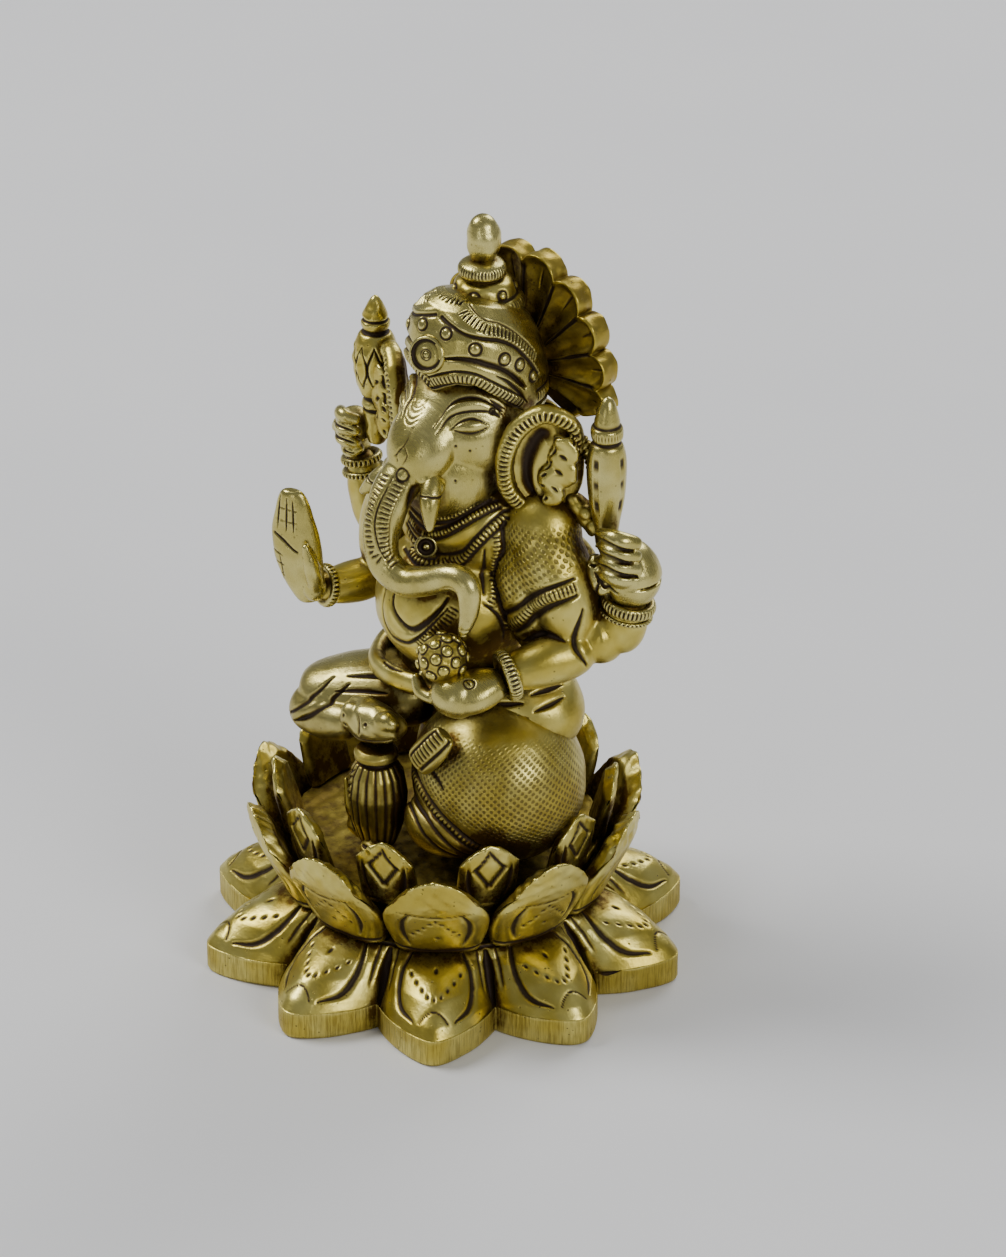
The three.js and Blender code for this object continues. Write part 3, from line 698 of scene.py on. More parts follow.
    # From behind, a ribbed sash crosses the back, the belt is roped and the waistcloth falls in pleats.
    sash_line = [(15.5, 12.4, 91), (8, 13.6, 86), (0, 14.4, 79), (-8, 13.6, 70), (-12, 11, 63)]
    back_sash = chase.drape(sash_line)
    chase.ridge(back_sash, 1.4, 0.45)
    chase.ribs(back_sash, 1.2, 1, 0.3, 0.6)
    for lift in (-1.9, 1.9):
        chase.groove(chase.drape([(x, y, z + lift) for x, y, z in sash_line]), 0.45, 0.4, taper=False)
    chase.ribs(chase.drape([(-14.6, 9, 57), (-8.6, 15.8, 57.4), (1, 18.8, 58.4), (11.4, 15.6, 59.6),
                            (16.8, 8, 60.2)]),
               1.3, 1.2, 0.3, 0.6)
    for side in (-9, -5, -1, 3, 7, 11, 15):
        chase.groove(chase.drape([(side, 15.6, 54.4), (1.15 * side, 16.8, 49), (1.25 * side, 16.4, 43)]),
                     0.6, 0.5)
    chase.finish()
    roughen(body, 21, 7, 0.09)

    points = read_points(body.data) / MM
    normals = read_normals(body.data)
    azimuth = np.arctan2(points[:, 0] - 12, -(points[:, 1] - 8))
    across, up = 12 * azimuth, points[:, 2] + 0.15 * points[:, 0]
    lower = np.interp(points[:, 0], [14, 20, 24.4, 30], [73, 77.8, 81.6, 84.4])
    zone = np.clip((points[:, 0] - 14.9) / 0.6, 0, 1) * np.clip((points[:, 2] - lower - 0.8) / 0.6, 0, 1)
    zone *= np.clip((91.6 - points[:, 2]) / 1.5, 0, 1) * np.clip(2.5 * (0.75 - normals[:, 1]), 0, 1)
    zone *= np.clip((29 - points[:, 0]) / 3, 0, 1)
    write_cloth(body.data, across, up, zone)
    return dress(body, ["torso", "waist_belt", "front_left_arm", "front_right_arm", "rear_left_arm",
                        "rear_right_arm"], "figure_brass")


def make_left_thigh():
    """The folded left thigh, wrapped in pecked cloth with a ridged hem."""
    centre, radius = np.array([14.4, -1.4, 40.2]), 15.5
    thigh = fuse("left_thigh_in_cloth", [
        ball(centre, (16.1, 15.3, 16)),
        limb([(20, -10.4, 34), (11, -13.6, 33.4), (4.4, -13, 36)], [5, 5, 3.6]),
    ], voxel=0.27, soften=14)
    chase = Chaser(thigh)
    hems = [
        [(2.5, -11.2, 41.4), (5.4, -14.2, 40.6), (9.6, -15.9, 39), (16.1, -16, 35.4), (20.4, -13.1, 31.6)],
        [(3.4, -12, 43.4), (8.8, -15.6, 41.8), (16.5, -16.3, 37.2), (21.2, -13.5, 33.2)],
    ]
    for hem in hems:
        chase.groove(chase.drape(hem), 0.5, 0.5, taper=False)
    band = chase.drape([(2.8, -11.8, 42.4), (7.2, -15, 41), (12.8, -16.4, 38.3), (20.8, -13.4, 32.4)])
    chase.ridge(band, 0.8, 0.35)
    chase.ribs(band, 0.7, 0.9, 0.25)
    for drop in (2.2, 4.2):
        chase.groove(chase.drape([(x, y, z - drop) for x, y, z in hems[0]]), 0.42, 0.35, taper=False)
    for cut in ([(8, -13.2, 46.4), (12.4, -15.2, 45), (14.6, -15.8, 43.4)],):
        chase.groove(chase.drape(cut), 0.5, 0.35)
    chase.finish()
    roughen(thigh, 22, 8, 0.1)
    spots = read_points(thigh.data) / MM - centre
    azimuth = np.arctan2(spots[:, 0], -spots[:, 1])
    rise = np.arcsin(np.clip(spots[:, 2] / np.linalg.norm(spots, axis=1), -1, 1))
    height = spots[:, 2] + 0.45 * spots[:, 0]
    zone = np.clip((height + 0.6) / 1.2, 0, 1) * np.clip((12.4 - spots[:, 2]) / 3, 0, 1)
    write_cloth(thigh.data, radius * azimuth * np.cos(rise), radius * rise,
                zone * np.clip((9 - spots[:, 1]) / 4, 0, 1))
    return dress(thigh, ["left_thigh"], "figure_brass")


def make_right_leg():
    """The right leg: a bent knee with two hem bands, and the foot set forward on the bud."""
    leg = fuse("right_leg_bent", [
        limb([(-3, 1, 51), (-13, -4, 49), (-25, -10.8, 47)], [(9.6, 7.7), (8.9, 6.9), (7.5, 5.9)],
             blunt=0.4),
        limb([(-25, -11, 45), (-17, -12.6, 45), (-9.5, -13.8, 47)], [5.5, 4.3, 3.7]),
    ], voxel=0.25, soften=12)
    chase = Chaser(leg)
    for shift, width in ((0, 0.6), (3.6, 0.6)):
        chase.groove(chase.drape([(-26 + shift, -16.6, 43.4), (-22.4 + shift, -17.2, 46),
                                  (-18.6 + shift, -14.8, 49.8), (-16.6 + shift, -11.6, 53)]), width, 0.55)
    chase.ridge(chase.drape([(-24.2, -17, 43.4), (-20.6, -16.8, 46.2), (-17, -14, 50.2)]), 1, 0.35)
    for line in (
        [(-14, -11, 54.4), (-9, -9.4, 56), (-4, -8, 57)],
        [(-15, -12.6, 51), (-10, -11.4, 52.4), (-5, -10.4, 53.4)],
    ):
        chase.groove(chase.drape(line), 0.5, 0.4)
    chase.finish()
    roughen(leg, 23, 7, 0.1)
    dress(leg, ["right_thigh"], "worn_brass")

    foot = fuse("right_foot_block", [
        limb([(-9.2, -14, 49.5), (-3.2, -15.3, 50.2), (3.4, -15.6, 51.6)], [(3.7, 4.5), (3.7, 4), (3, 2.7)],
             blunt=0.3),
        ball((-7.2, -16.6, 50.6), (2.4, 2, 3)), ball((1.2, -16.6, 52.4), (2.6, 2, 2)),
    ], voxel=0.2, soften=10)
    chase = Chaser(foot)
    for spot in ((-7.6, -18.6, 51.4), (-7.4, -18.6, 49.4), (-2.2, -19, 51.6)):
        chase.dot(chase.drape([spot])[0], (0, 0, 1), (0.4, 0.36), 0.35)
    chase.groove(chase.drape([(-10, -17, 46.6), (-5, -18.8, 46.6), (0, -18.6, 47.6), (3.4, -17.6, 49)]),
                 0.6, 0.5)
    chase.groove(chase.drape([(-4.4, -18.9, 53.2), (-3.6, -19.2, 51), (-3.8, -19, 48.6)]), 0.4, 0.3,
                 darkening=0.6)
    chase.finish()
    roughen(foot, 24, 3.4, 0.14)
    return dress(foot, ["right_foot"], "worn_brass")


def make_footrest():
    """A fluted bud under the right foot, with a collar, side curls, a low leaf and a ball foot."""
    steps = [0, 0.06, 0.16, 0.3, 0.45, 0.6, 0.7, 0.76, 0.82, 0.88, 0.95, 1]
    radii = [0, 2.3, 3.4, 4.9, 5.4, 4.8, 3.6, 3.4, 4.2, 4.2, 3.5, 0]
    heights = [24, 24.1, 26.6, 31.4, 36.4, 40.4, 42.6, 43.2, 43.7, 44.7, 45.5, 45.6]

    def shape(across, up):
        angle = 2 * math.pi * across
        radius = np.interp(up, steps, radii)
        flute = 0.32 * np.abs(np.sin(9 * angle)) ** 0.7 * np.clip((up - 0.1) / 0.1, 0, 1) * (up < 0.7)
        tilt = -0.12 * (up - 0.5)
        place = np.stack([-2.4 + tilt * 4 + (radius + flute - 0.2) * np.sin(angle),
                          -15.4 - (radius + flute - 0.2) * np.cos(angle), np.interp(up, steps, heights)], 1)
        return place, {0: np.clip(1 - 3.4 * flute, 0, 0.75) * (up > 0.12) * (up < 0.7)}

    bud = wrapped("footrest_fluted_bud", 216, 90, shape)
    chase = Chaser(bud)
    for index in range(5):
        low = 32.4 + index * 1.7
        chase.groove(chase.drape([(-7.8, -16.6, low), (-6.4, -19, low + 1.6), (-4.6, -20.4, low + 3.2)]),
                     0.4, 0.4)
    chase.groove(chase.wrap((-2.4, -15.4), [(azimuth, 43) for azimuth in range(-180, 181, 20)], 4), 0.5,
                 0.4, taper=False)
    chase.finish()
    dress(bud, ["footrest_bud"], "figure_brass")

    toe = fuse("footrest_ball", [ball((-0.6, -18.2, 25.9), (3.1, 2.4, 2)),
                                 ball((-1.6, -17.6, 27.4), (2, 1.6, 1.5))],
               0.22, 6)
    chase = Chaser(toe)
    chase.groove(chase.drape([(-2.6, -19.8, 27.2), (-0.6, -20.6, 27.5), (1.4, -19.8, 27)]), 0.5, 0.4)
    chase.finish()
    dress(toe, [], "figure_brass")

    leaf = fuse("footrest_side_leaf", [
        limb([(-5.4, -15.6, 25.6), (-8.6, -15.2, 29.6), (-11.2, -14.4, 35.4)],
             [(1.9, 1.3), (2.4, 1.3), (0.7, 0.6)],
             (-0.6, 0, 0.8)),
    ], 0.2, 4)
    chase = Chaser(leaf)
    chase.groove(chase.drape([(-6.6, -17, 27), (-8.8, -16.8, 30.4), (-10.6, -15.8, 33.8)]), 0.4, 0.35)
    chase.finish()
    return dress(leaf, ["footrest_leaf"], "dark_brass")


def make_sash():
    """The loose end of the waistcloth, ribbed across, lying between the thighs."""
    sash = fuse("sash_ribbed_end", [
        limb([(13.8, -14.6, 54), (11.6, -15.9, 50.6), (8.4, -16.6, 46.6)],
             [(2.6, 1.6), (3, 1.6), (3.3, 1.5)],
             (0.3, -0.9, 0.4), 0.28),
    ], 0.18, 5)
    chase = Chaser(sash)
    middle = chase.drape([(13.6, -15.9, 54.6), (11.4, -17.3, 51.2), (8.4, -18, 47.4)])
    chase.ribs(middle, 1.4, 0.95, 0.35)
    for hand in (-1, 1):
        offset = np.array([0.75, 0.3, -0.45]) * 2.1 * hand
        chase.groove(chase.drape([np.array(spot) + offset for spot in ((13.4, -15.6, 54.2), (11.3, -17, 51),
                                                                       (8.6, -17.7, 47.6))]), 0.4, 0.4,
                     taper=False)
    chase.finish()
    return dress(sash, ["sash_end"], "figure_brass")


# ---- head ----
def make_head():
    """Head and trunk in one skin: heavy-lidded eyes under double brows, and a ribbed trunk curling left."""
    trunk_path = [(-0.6, -7.6, 100.4), (-1.6, -10.8, 96.2), (-2.1, -13, 91.4), (-2.3, -13.9, 87),
                  (-1.2, -13.9, 82.6),
                  (3, -13.3, 80.6), (8, -12.6, 82), (13, -11.8, 84.2), (16.2, -11.4, 83.2),
                  (16.8, -11.8, 78.6),
                  (15.8, -12.7, 73.4)]
    trunk_sizes = [(5.2, 4), (4.8, 3.8), (4.1, 3.4), (3.5, 3.1), (3.2, 2.9), (3, 2.8), (2.7, 2.6),
                   (2.5, 2.4),
                   (2.5, 2.4), (2.1, 2), (1.3, 1.3)]
    head = fuse("head_and_trunk", [
        ball((SPINE, 5, 105), (12.1, 11.8, 12)), ball((SPINE, 1.6, 97), (9.9, 10.1, 11)),
        limb([(SPINE, -1, 110), (0.2, -6, 103), (-0.6, -8.4, 97)], [(7.5, 5.5), (6.8, 5), (5.2, 3.8)],
             (0, 1, 0)),
        ball((SPINE, 4.5, 90.5), (8.6, 7.6, 5.6)),
        limb(trunk_path, trunk_sizes, (0, 1, 0.02), 0.3, rings=110),
        ball((3.4, -8.2, 99.2), (2.4, 2.2, 2)), ball((-4.2, -8, 98.6), (2.4, 2.2, 2)),
    ], voxel=0.26, soften=14)
    chase = Chaser(head)
    for side in (1, -1):
        def face(line):
            return chase.wrap(HEAD_CENTRE, [(side * azimuth, height) for azimuth, height in line])

        chase.ridge(face([(18, 108.6), (25, 110.9), (35, 112), (49, 112.4), (62, 112), (76, 110.2)]), 0.65,
                    0.4)
        chase.groove(face([(15.5, 108.6), (23, 111.3), (31, 112.7), (45, 113.3), (59, 113), (71, 111.8),
                           (79, 109.8)]),
                     0.3, 0.3)
        chase.groove(face([(19, 107.6), (27, 110.1), (39, 111.1), (54, 111.3), (66, 110.9), (75, 109.8)]),
                     0.3, 0.32)
        eye = face([(46.5, 108.9)])[0]
        run = face([(61, 109)])[0] - face([(31, 108.4)])[0]
        chase.swell(eye, run, (3.6, 1.9), -0.35)
        chase.swell(eye, run, (2.5, 0.95), 0.62)
        chase.groove(face([(29, 108.2), (37, 109.5), (47, 110.1), (56, 109.7), (63, 108.9)]), 0.32, 0.36)
        chase.groove(face([(29, 108.3), (38, 107.8), (47, 107.6), (55, 107.9), (63, 108.5)]), 0.28, 0.34)
        chase.groove(face([(38, 108.9), (43, 109.4), (50, 109.5), (55, 109.1)]), 0.14, 0.12, darkening=0.5)
        for line in ([(70, 112.6), (82, 110.8)], [(67, 111.3), (76, 109.8)], [(72, 111.9), (80, 110.4)]):
            chase.groove(face(line), 0.34, 0.3)
        chase.ring(face([(69, 110.9)])[0], 0.5, 0.2, 0.2)
        for spot in ((34, 105.3), (46, 104.4), (34, 98.8)):
            chase.dot(face([spot])[0], (1, 0, 0), (0.3, 0.25), 0.2)
    for arc in ([(-19, 111.8), (-14, 110.9), (-6, 110.8), (-1, 112)],
                [(-19, 111), (-12, 110.2), (-4, 110.2), (2, 111.3)],
                [(-15, 110), (-11, 109.3), (-4, 109.2), (2, 110.2)],
                [(-12, 109), (-8, 108.4), (-3, 108.4), (1, 109.2)]):
        chase.groove(chase.wrap(HEAD_CENTRE, arc), 0.18, 0.18, darkening=0.7)

    # A leaf lies on the brow line above the oval where the trunk's two rib rows start.
    chase.groove(chase.drape([(0.9, -8.5, 108), (0.4, -10, 105.2), (-1.6, -10.8, 102.4)]), 0.2, 0.2,
                 darkening=0.8)
    chase.groove(chase.drape([(0.3, -10.2, 105), (1.3, -10.4, 103.4), (0.6, -10.8, 101.6)]), 0.2, 0.2,
                 darkening=0.8)
    chase.groove(chase.drape([(0.3, -10.2, 105), (-0.8, -10.7, 103.4), (-0.5, -11, 101.6)]), 0.18, 0.18,
                 darkening=0.8)
    oval = chase.drape([(0.7, -11.2, 99.8)])[0]
    chase.swell(oval, (1, -0.2, 0), (1.2, 0.8), 0.3)
    chase.ring(oval, 1.15, 0.22, 0.24)
    middle = [(-0.7, -12.2, 99.3), (-0.9, -13.6, 97.3), (-1.3, -14.7, 95.5), (-1.6, -15.6, 93.3),
              (-1.5, -16.2, 91.2),
              (-1, -16.4, 89), (-0.2, -16.2, 86.4), (0.8, -15.2, 84.2)]
    chase.groove(chase.drape(middle), 0.3, 0.3)
    for shift, half, pitch in ((1.6, 1.1, 0.92), (-1.7, 0.95, 0.98)):
        row = chase.drape([(x + shift, y + 0.3, z) for x, y, z in middle])
        chase.ribs(row, half, pitch, 0.26, 0.75)
        chase.groove(chase.drape([(x + shift * 1.75, y + 0.9, z) for x, y, z in middle]), 0.22, 0.16,
                     darkening=0.5)
    chase.groove(chase.drape([(6, -9.1, 99.4), (4.2, -10.6, 97.4), (2.6, -10.8, 94.4), (1.8, -10.6, 91.6)]),
                 0.8, 0.7)
    chase.groove(chase.drape([(-6.6, -8.4, 98.6), (-5.6, -10.4, 96.8), (-5, -10.8, 94)]), 0.7, 0.6)
    chase.groove(chase.drape([(12.2, -13.6, 82.8), (14.4, -13.4, 83.4), (15.6, -13.4, 82.4)]), 0.3, 0.12,
                 darkening=0.2)
    tip = chase.drape([(15.7, -13, 72.6)])[0]
    chase.swell(tip, (1, 0, 0), (0.7, 0.6), -0.5)
    for lift in (0, 1):
        chase.groove(chase.drape([(15 + lift, -13.8, 74.6 + lift), (16.6, -13.4, 74.4 + lift),
                                  (17.2, -12.2, 74.8 + lift)]),
                     0.2, 0.12, darkening=0.4)
    chase.finish()
    roughen(head, 31, 9, 0.06)
    dress(head, ["head", "trunk"], "worn_brass")


def make_tusks():
    """A long left tusk and a short broken right one, each in a lipped socket."""
    for name, path, girth, node in (
        ("tusk_left_whole", [(4.2, -7, 100), (6, -9.9, 96), (7.4, -11.6, 91)], [2, 1.95, 0.9], "tusk_left"),
        ("tusk_right_broken", [(-6, -6.6, 97.4), (-8.6, -8.4, 94.2), (-11.2, -9.4, 91.6)], [2, 1.7, 0.85],
         "tusk_right"),
    ):
        start, middle = (np.array(spot, float) for spot in path[:2])
        lip = 0.55 * start + 0.45 * middle
        tusk = fuse(name, [
            limb(path, girth, (0, 1, 0.2), 0.4),
            ball(lip, (2.5, 2.3, 1.3), (28, 20 if node == "tusk_left" else -30, 0)),
        ], 0.16, 8)
        chase = Chaser(tusk)
        ring = [lip + np.array([math.cos(turn) * 2.4, math.sin(turn) * 2.4, -1.3])
                for turn in np.linspace(0, 6.28, 9)]
        chase.groove(chase.drape(ring), 0.28, 0.25, taper=False)
        chase.finish()
        dress(tusk, [node], "worn_brass")


def make_ear(side, name, node):
    """A swept ear: a ticked rim, a deep hollow, a wavy folded lobe and a ticked lower band."""

    def mirror(points):
        return [(SPINE + side * (x - 0.4), y, z) for x, y, z in points]

    rim = mirror([(17.5, 5.6, 90.8), (13.7, 2.2, 95.5), (12.9, 1.2, 101.5), (14.6, 2.4, 108),
                  (18.4, 5.4, 111.6),
                  (22.2, 8.6, 109.4), (23.4, 9.9, 104)])
    lobe = mirror([(20.2, 5.6, 107.8), (22.4, 7.2, 105.4), (21, 6.4, 103), (22, 7, 101), (19.4, 5.2, 99.4),
                   (20.6, 5.8, 96.8), (19, 4.8, 94.6)])
    ear = fuse(name, [
        ball(mirror([(17.8, 7, 101.2)])[0], (6.6, 1.5, 10.2), (0, 0, side * 38)),
        limb(rim, [1.75, 1.7, 1.75, 1.85, 1.85, 1.7, 1.2], (0, 1, 0.1)),
        limb(lobe, [(1.7, 1.4), (3, 1.7), (2.2, 1.5), (3, 1.7), (2, 1.5), (2.4, 1.4), (1.3, 1.1)],
             (0, 1, 0.1), 0.35),
    ], 0.22, 6)
    chase = Chaser(ear)
    front = np.array([0.55 * side, -0.8, 0])
    rim_line = chase.drape([np.array(spot) + 1.9 * front for spot in rim[1:]])
    chase.ribs(rim_line, 1, 0.95, 0.4)
    chase.groove(chase.drape([np.array(spot) + 1.2 * front for spot in mirror(
        [(16.9, 5, 94.4), (15.6, 3.8, 98), (15.9, 3.8, 103), (17.5, 4.8, 107), (19.8, 6.2, 108.6),
         (21.8, 8, 107.2)])]),
        1.7, 1.2, darkening=0.9)
    lower = chase.drape([np.array(spot) + 1.9 * front for spot in mirror([(13.9, 2.2, 95.4),
                                                                          (15.6, 3.6, 92.8),
                                                                          (17.8, 5.4, 90.6)])])
    chase.ribs(lower, 1.1, 0.85, 0.35)
    for line in (
        [(18.6, 4.4, 104.6), (19.6, 5, 105.2), (20.6, 5.8, 105.8)],
        [(18.4, 4.2, 102.6), (19.8, 5.2, 103.2)],
        [(21.4, 6, 104.8), (22.6, 7, 104)], [(20.8, 5.8, 101.8), (22, 6.6, 101)],
        [(18.2, 4.4, 100.4), (19.4, 5, 101)],
        [(18, 4.2, 98), (19.2, 5, 98.6)], [(20.4, 5.6, 98.6), (21.2, 6.2, 97.8)],
        [(18.6, 4.4, 95.8), (19.4, 5, 96.2)],
    ):
        chase.groove(chase.drape([np.array(spot) + 1.2 * front for spot in mirror(line)]), 0.42, 0.42)
    chase.finish()
    roughen(ear, 41, 4, 0.1)
    return dress(ear, [node], "figure_brass")


# ---- crown ----
def make_crown():
    """The crown's cap: ribbed brow band, leaf cuts, studs and a ticked band, arched over each eye."""
    azimuths = np.radians([0, 14, 25, 42, 55, 72, 87, 120, 180])
    brow = [113.4, 115, 116, 115.9, 114.4, 111.2, 109.2, 107.8, 107.6]
    steps = [0, 0.1, 0.28, 0.44, 0.58, 0.72, 0.84, 0.94, 1]
    radii = [12.2, 12.7, 12.6, 11.9, 10.9, 9.4, 7.2, 4, 0]
    heights = [0, 0.12, 0.34, 0.54, 0.69, 0.84, 0.95, 0.995, 1]
    top, lean, level = 127.2, 0.3, 1.35

    def shape(across, up):
        angle = 2 * math.pi * across - math.pi
        rise = np.clip((up - 0.08) / 0.92, 0, 1)
        radius = np.interp(rise, steps, radii) - 2.2 * np.clip(1 - up / 0.08, 0, 1)
        low = np.interp(np.abs(angle), azimuths, brow) - level - lean * 12.4 * np.cos(angle)
        height = low + np.interp(rise, steps, heights) * (top - low)
        place = np.stack([CROWN_CENTRE[0] + radius * np.sin(angle),
                          CROWN_CENTRE[1] - radius * np.cos(angle),
                          height + level + lean * radius * np.cos(angle)], 1)
        return place, {}

    cap = wrapped("crown_cap", 520, 150, shape)
    apply_modifier(cap, "SMOOTH", factor=0.5, iterations=12)
    chase = Chaser(cap)

    def line(pairs):
        return chase.wrap(CROWN_CENTRE, pairs)

    for rim in both_sides([(-1, 114.9), (12, 116.4), (26, 117.4), (40, 117.2), (52, 115.9), (66, 113.8),
                           (82, 111.2)]):
        chase.ridge(line(rim), 0.95, 0.3)
        chase.ribs(line(rim), 0.85, 0.78, 0.28)
        chase.groove(line([(a, z - 1.35) for a, z in rim]), 0.55, 0.5, taper=False)
        chase.groove(line([(a, z + 1.4) for a, z in rim]), 0.36, 0.35)
    for leaf in both_sides([(15, 120.8), (28, 121.2), (41, 120.9), (53, 120), (63, 119), (73, 117.2),
                            (84, 114.4)]):
        chase.groove(line(leaf), 0.85, 0.8)
    for leaf in both_sides([(58, 118), (68, 116.4), (78, 113.8), (86, 111.4)]):
        chase.groove(line(leaf), 0.4, 0.35)
    for border in both_sides([(4, 127.4), (20, 126.4), (32, 125.5), (49, 124.7), (64, 123.9), (79, 122),
                              (91, 119), (102, 115.6)]):
        chase.groove(line(border), 0.45, 0.45, taper=False)
        chase.ridge(line([(a, z + 0.75) for a, z in border]), 0.45, 0.22)
    for band in both_sides([(26, 128.9), (38, 127.6), (52, 126.1), (66, 125.2), (80, 123.5), (91, 121.3),
                            (102, 118.5)]):
        chase.ribs(line(band), 0.95, 0.82, 0.34)
        chase.groove(line([(a, z + 1.35) for a, z in band]), 0.26, 0.24, taper=False, darkening=0.7)
    front = chase.drape([(3.6, 1.6, 128.8), (0.6, 1, 129.6), (-2.8, 2.4, 129.8), (-5.4, 5, 129)])
    chase.ribs(front, 0.95, 0.82, 0.34)
    for azimuth, height in ((14, 125.2), (41, 123.1), (66, 120.7), (81, 118.9), (95, 115.8)):
        for side in (1, -1):
            chase.stud(line([(side * azimuth, height)])[0], 0.98, 0.42)
    back = line([(azimuth, 111) for azimuth in range(100, 261, 20)])
    chase.ribs(back, 0.9, 0.9, 0.25)
    for lift in (-1.4, 1.4):
        chase.groove(line([(azimuth, 111 + lift) for azimuth in range(100, 261, 20)]), 0.4, 0.35,
                     taper=False)
    chase.finish()
    roughen(cap, 51, 7, 0.07)
    dress(cap, ["crown_band", "crown_dome"], "worn_brass")

    medallion = turned("crown_medallion_disc", (0, 0), [
        (0, 0), (3.2, 0), (3.5, 0.3), (3.5, 1.6), (3.2, 2.2), (2.75, 2.35), (2.5, 2), (2.35, 1.75),
        (1.5, 1.8), (1.25, 2),
        (1, 2.35), (0.75, 2.3), (0.6, 1.95), (0.4, 2.1), (0, 2.2),
    ])
    place(medallion, (SPINE - 0.4, -3.5, 120.5), (math.pi / 2 - 0.3, 0, math.radians(18)))
    chase = Chaser(medallion)
    middle = chase.drape([(SPINE + 0.4, -6.2, 121.3)])[0]
    chase.ring(middle, 2.5, 0.34, 0.35)
    chase.ring(middle, 0.95, 0.26, 0.25)
    chase.finish()
    dress(medallion, ["crown_medallion"], "worn_brass")


def make_crown_top():
    """The knot on the crown: a ribbed lower ring, a jewelled tier, a ribbed collar and a polished bud."""
    tier = turned("crown_knot_tier", (0, 0), [
        (0, 122.6), (5.8, 123), (6.8, 124.4), (7.3, 126.2), (6.8, 127.4), (5.8, 127.8), (5.6, 129),
        (5.2, 130.2),
        (3.8, 130.9), (3.2, 130.6), (0, 130.6),
    ])
    place(tier, (SPINE, 10, 0), (0, 0, 0))
    chase = Chaser(tier)
    axis = (SPINE, 10)
    chase.ribs(chase.wrap(axis, [(azimuth, 127) for azimuth in range(-180, 181, 15)], 6), 0.75, 0.7, 0.26)
    for height in (124.4, 128):
        chase.groove(chase.wrap(axis, [(azimuth, height) for azimuth in range(-180, 181, 15)], 4), 0.36,
                     0.35, taper=False)
    for azimuth in range(-150, 181, 55):
        chase.stud(chase.wrap(axis, [(azimuth + 8, 129)])[0], 0.8, 0.35)
    chase.finish()
    roughen(tier, 52, 2.6, 0.1)
    dress(tier, ["crown_tiers"], "figure_brass")

    collar = turned("crown_knot_collar", (0, 0),
                    [(0, 130.2), (3, 130.2), (3.3, 130.9), (4.2, 131.6), (4.4, 132.6),
                                              (4.1, 133.5), (3, 134.1), (2.2, 134.3), (0, 134.3)])
    place(collar, (SPINE, 9.4, 0), (0, 0, 0))
    chase = Chaser(collar)
    chase.ribs(chase.wrap((SPINE, 9.4), [(azimuth, 132.8) for azimuth in range(-180, 181, 15)], 6), 0.75,
               0.62, 0.24)
    chase.groove(chase.wrap((SPINE, 9.4), [(azimuth, 131.2) for azimuth in range(-180, 181, 15)], 4), 0.45,
                 0.4,
                 taper=False)
    chase.finish()
    dress(collar, [], "worn_brass")

    bud = turned("crown_finial_bud", (0, 0), [(0, 133.6), (1.7, 133.7), (2.1, 134.5), (2.9, 136),
                                              (3.2, 138), (2.95, 139.8),
                                         (2.3, 141.4), (1.3, 142.4), (0, 142.75)])
    place(bud, (SPINE, 9.8, 0), (0, 0, 0))
    apply_modifier(bud, "SMOOTH", factor=0.5, iterations=10)
    roughen(bud, 53, 3.2, 0.14)
    dress(bud, ["crown_finial"], "worn_brass")


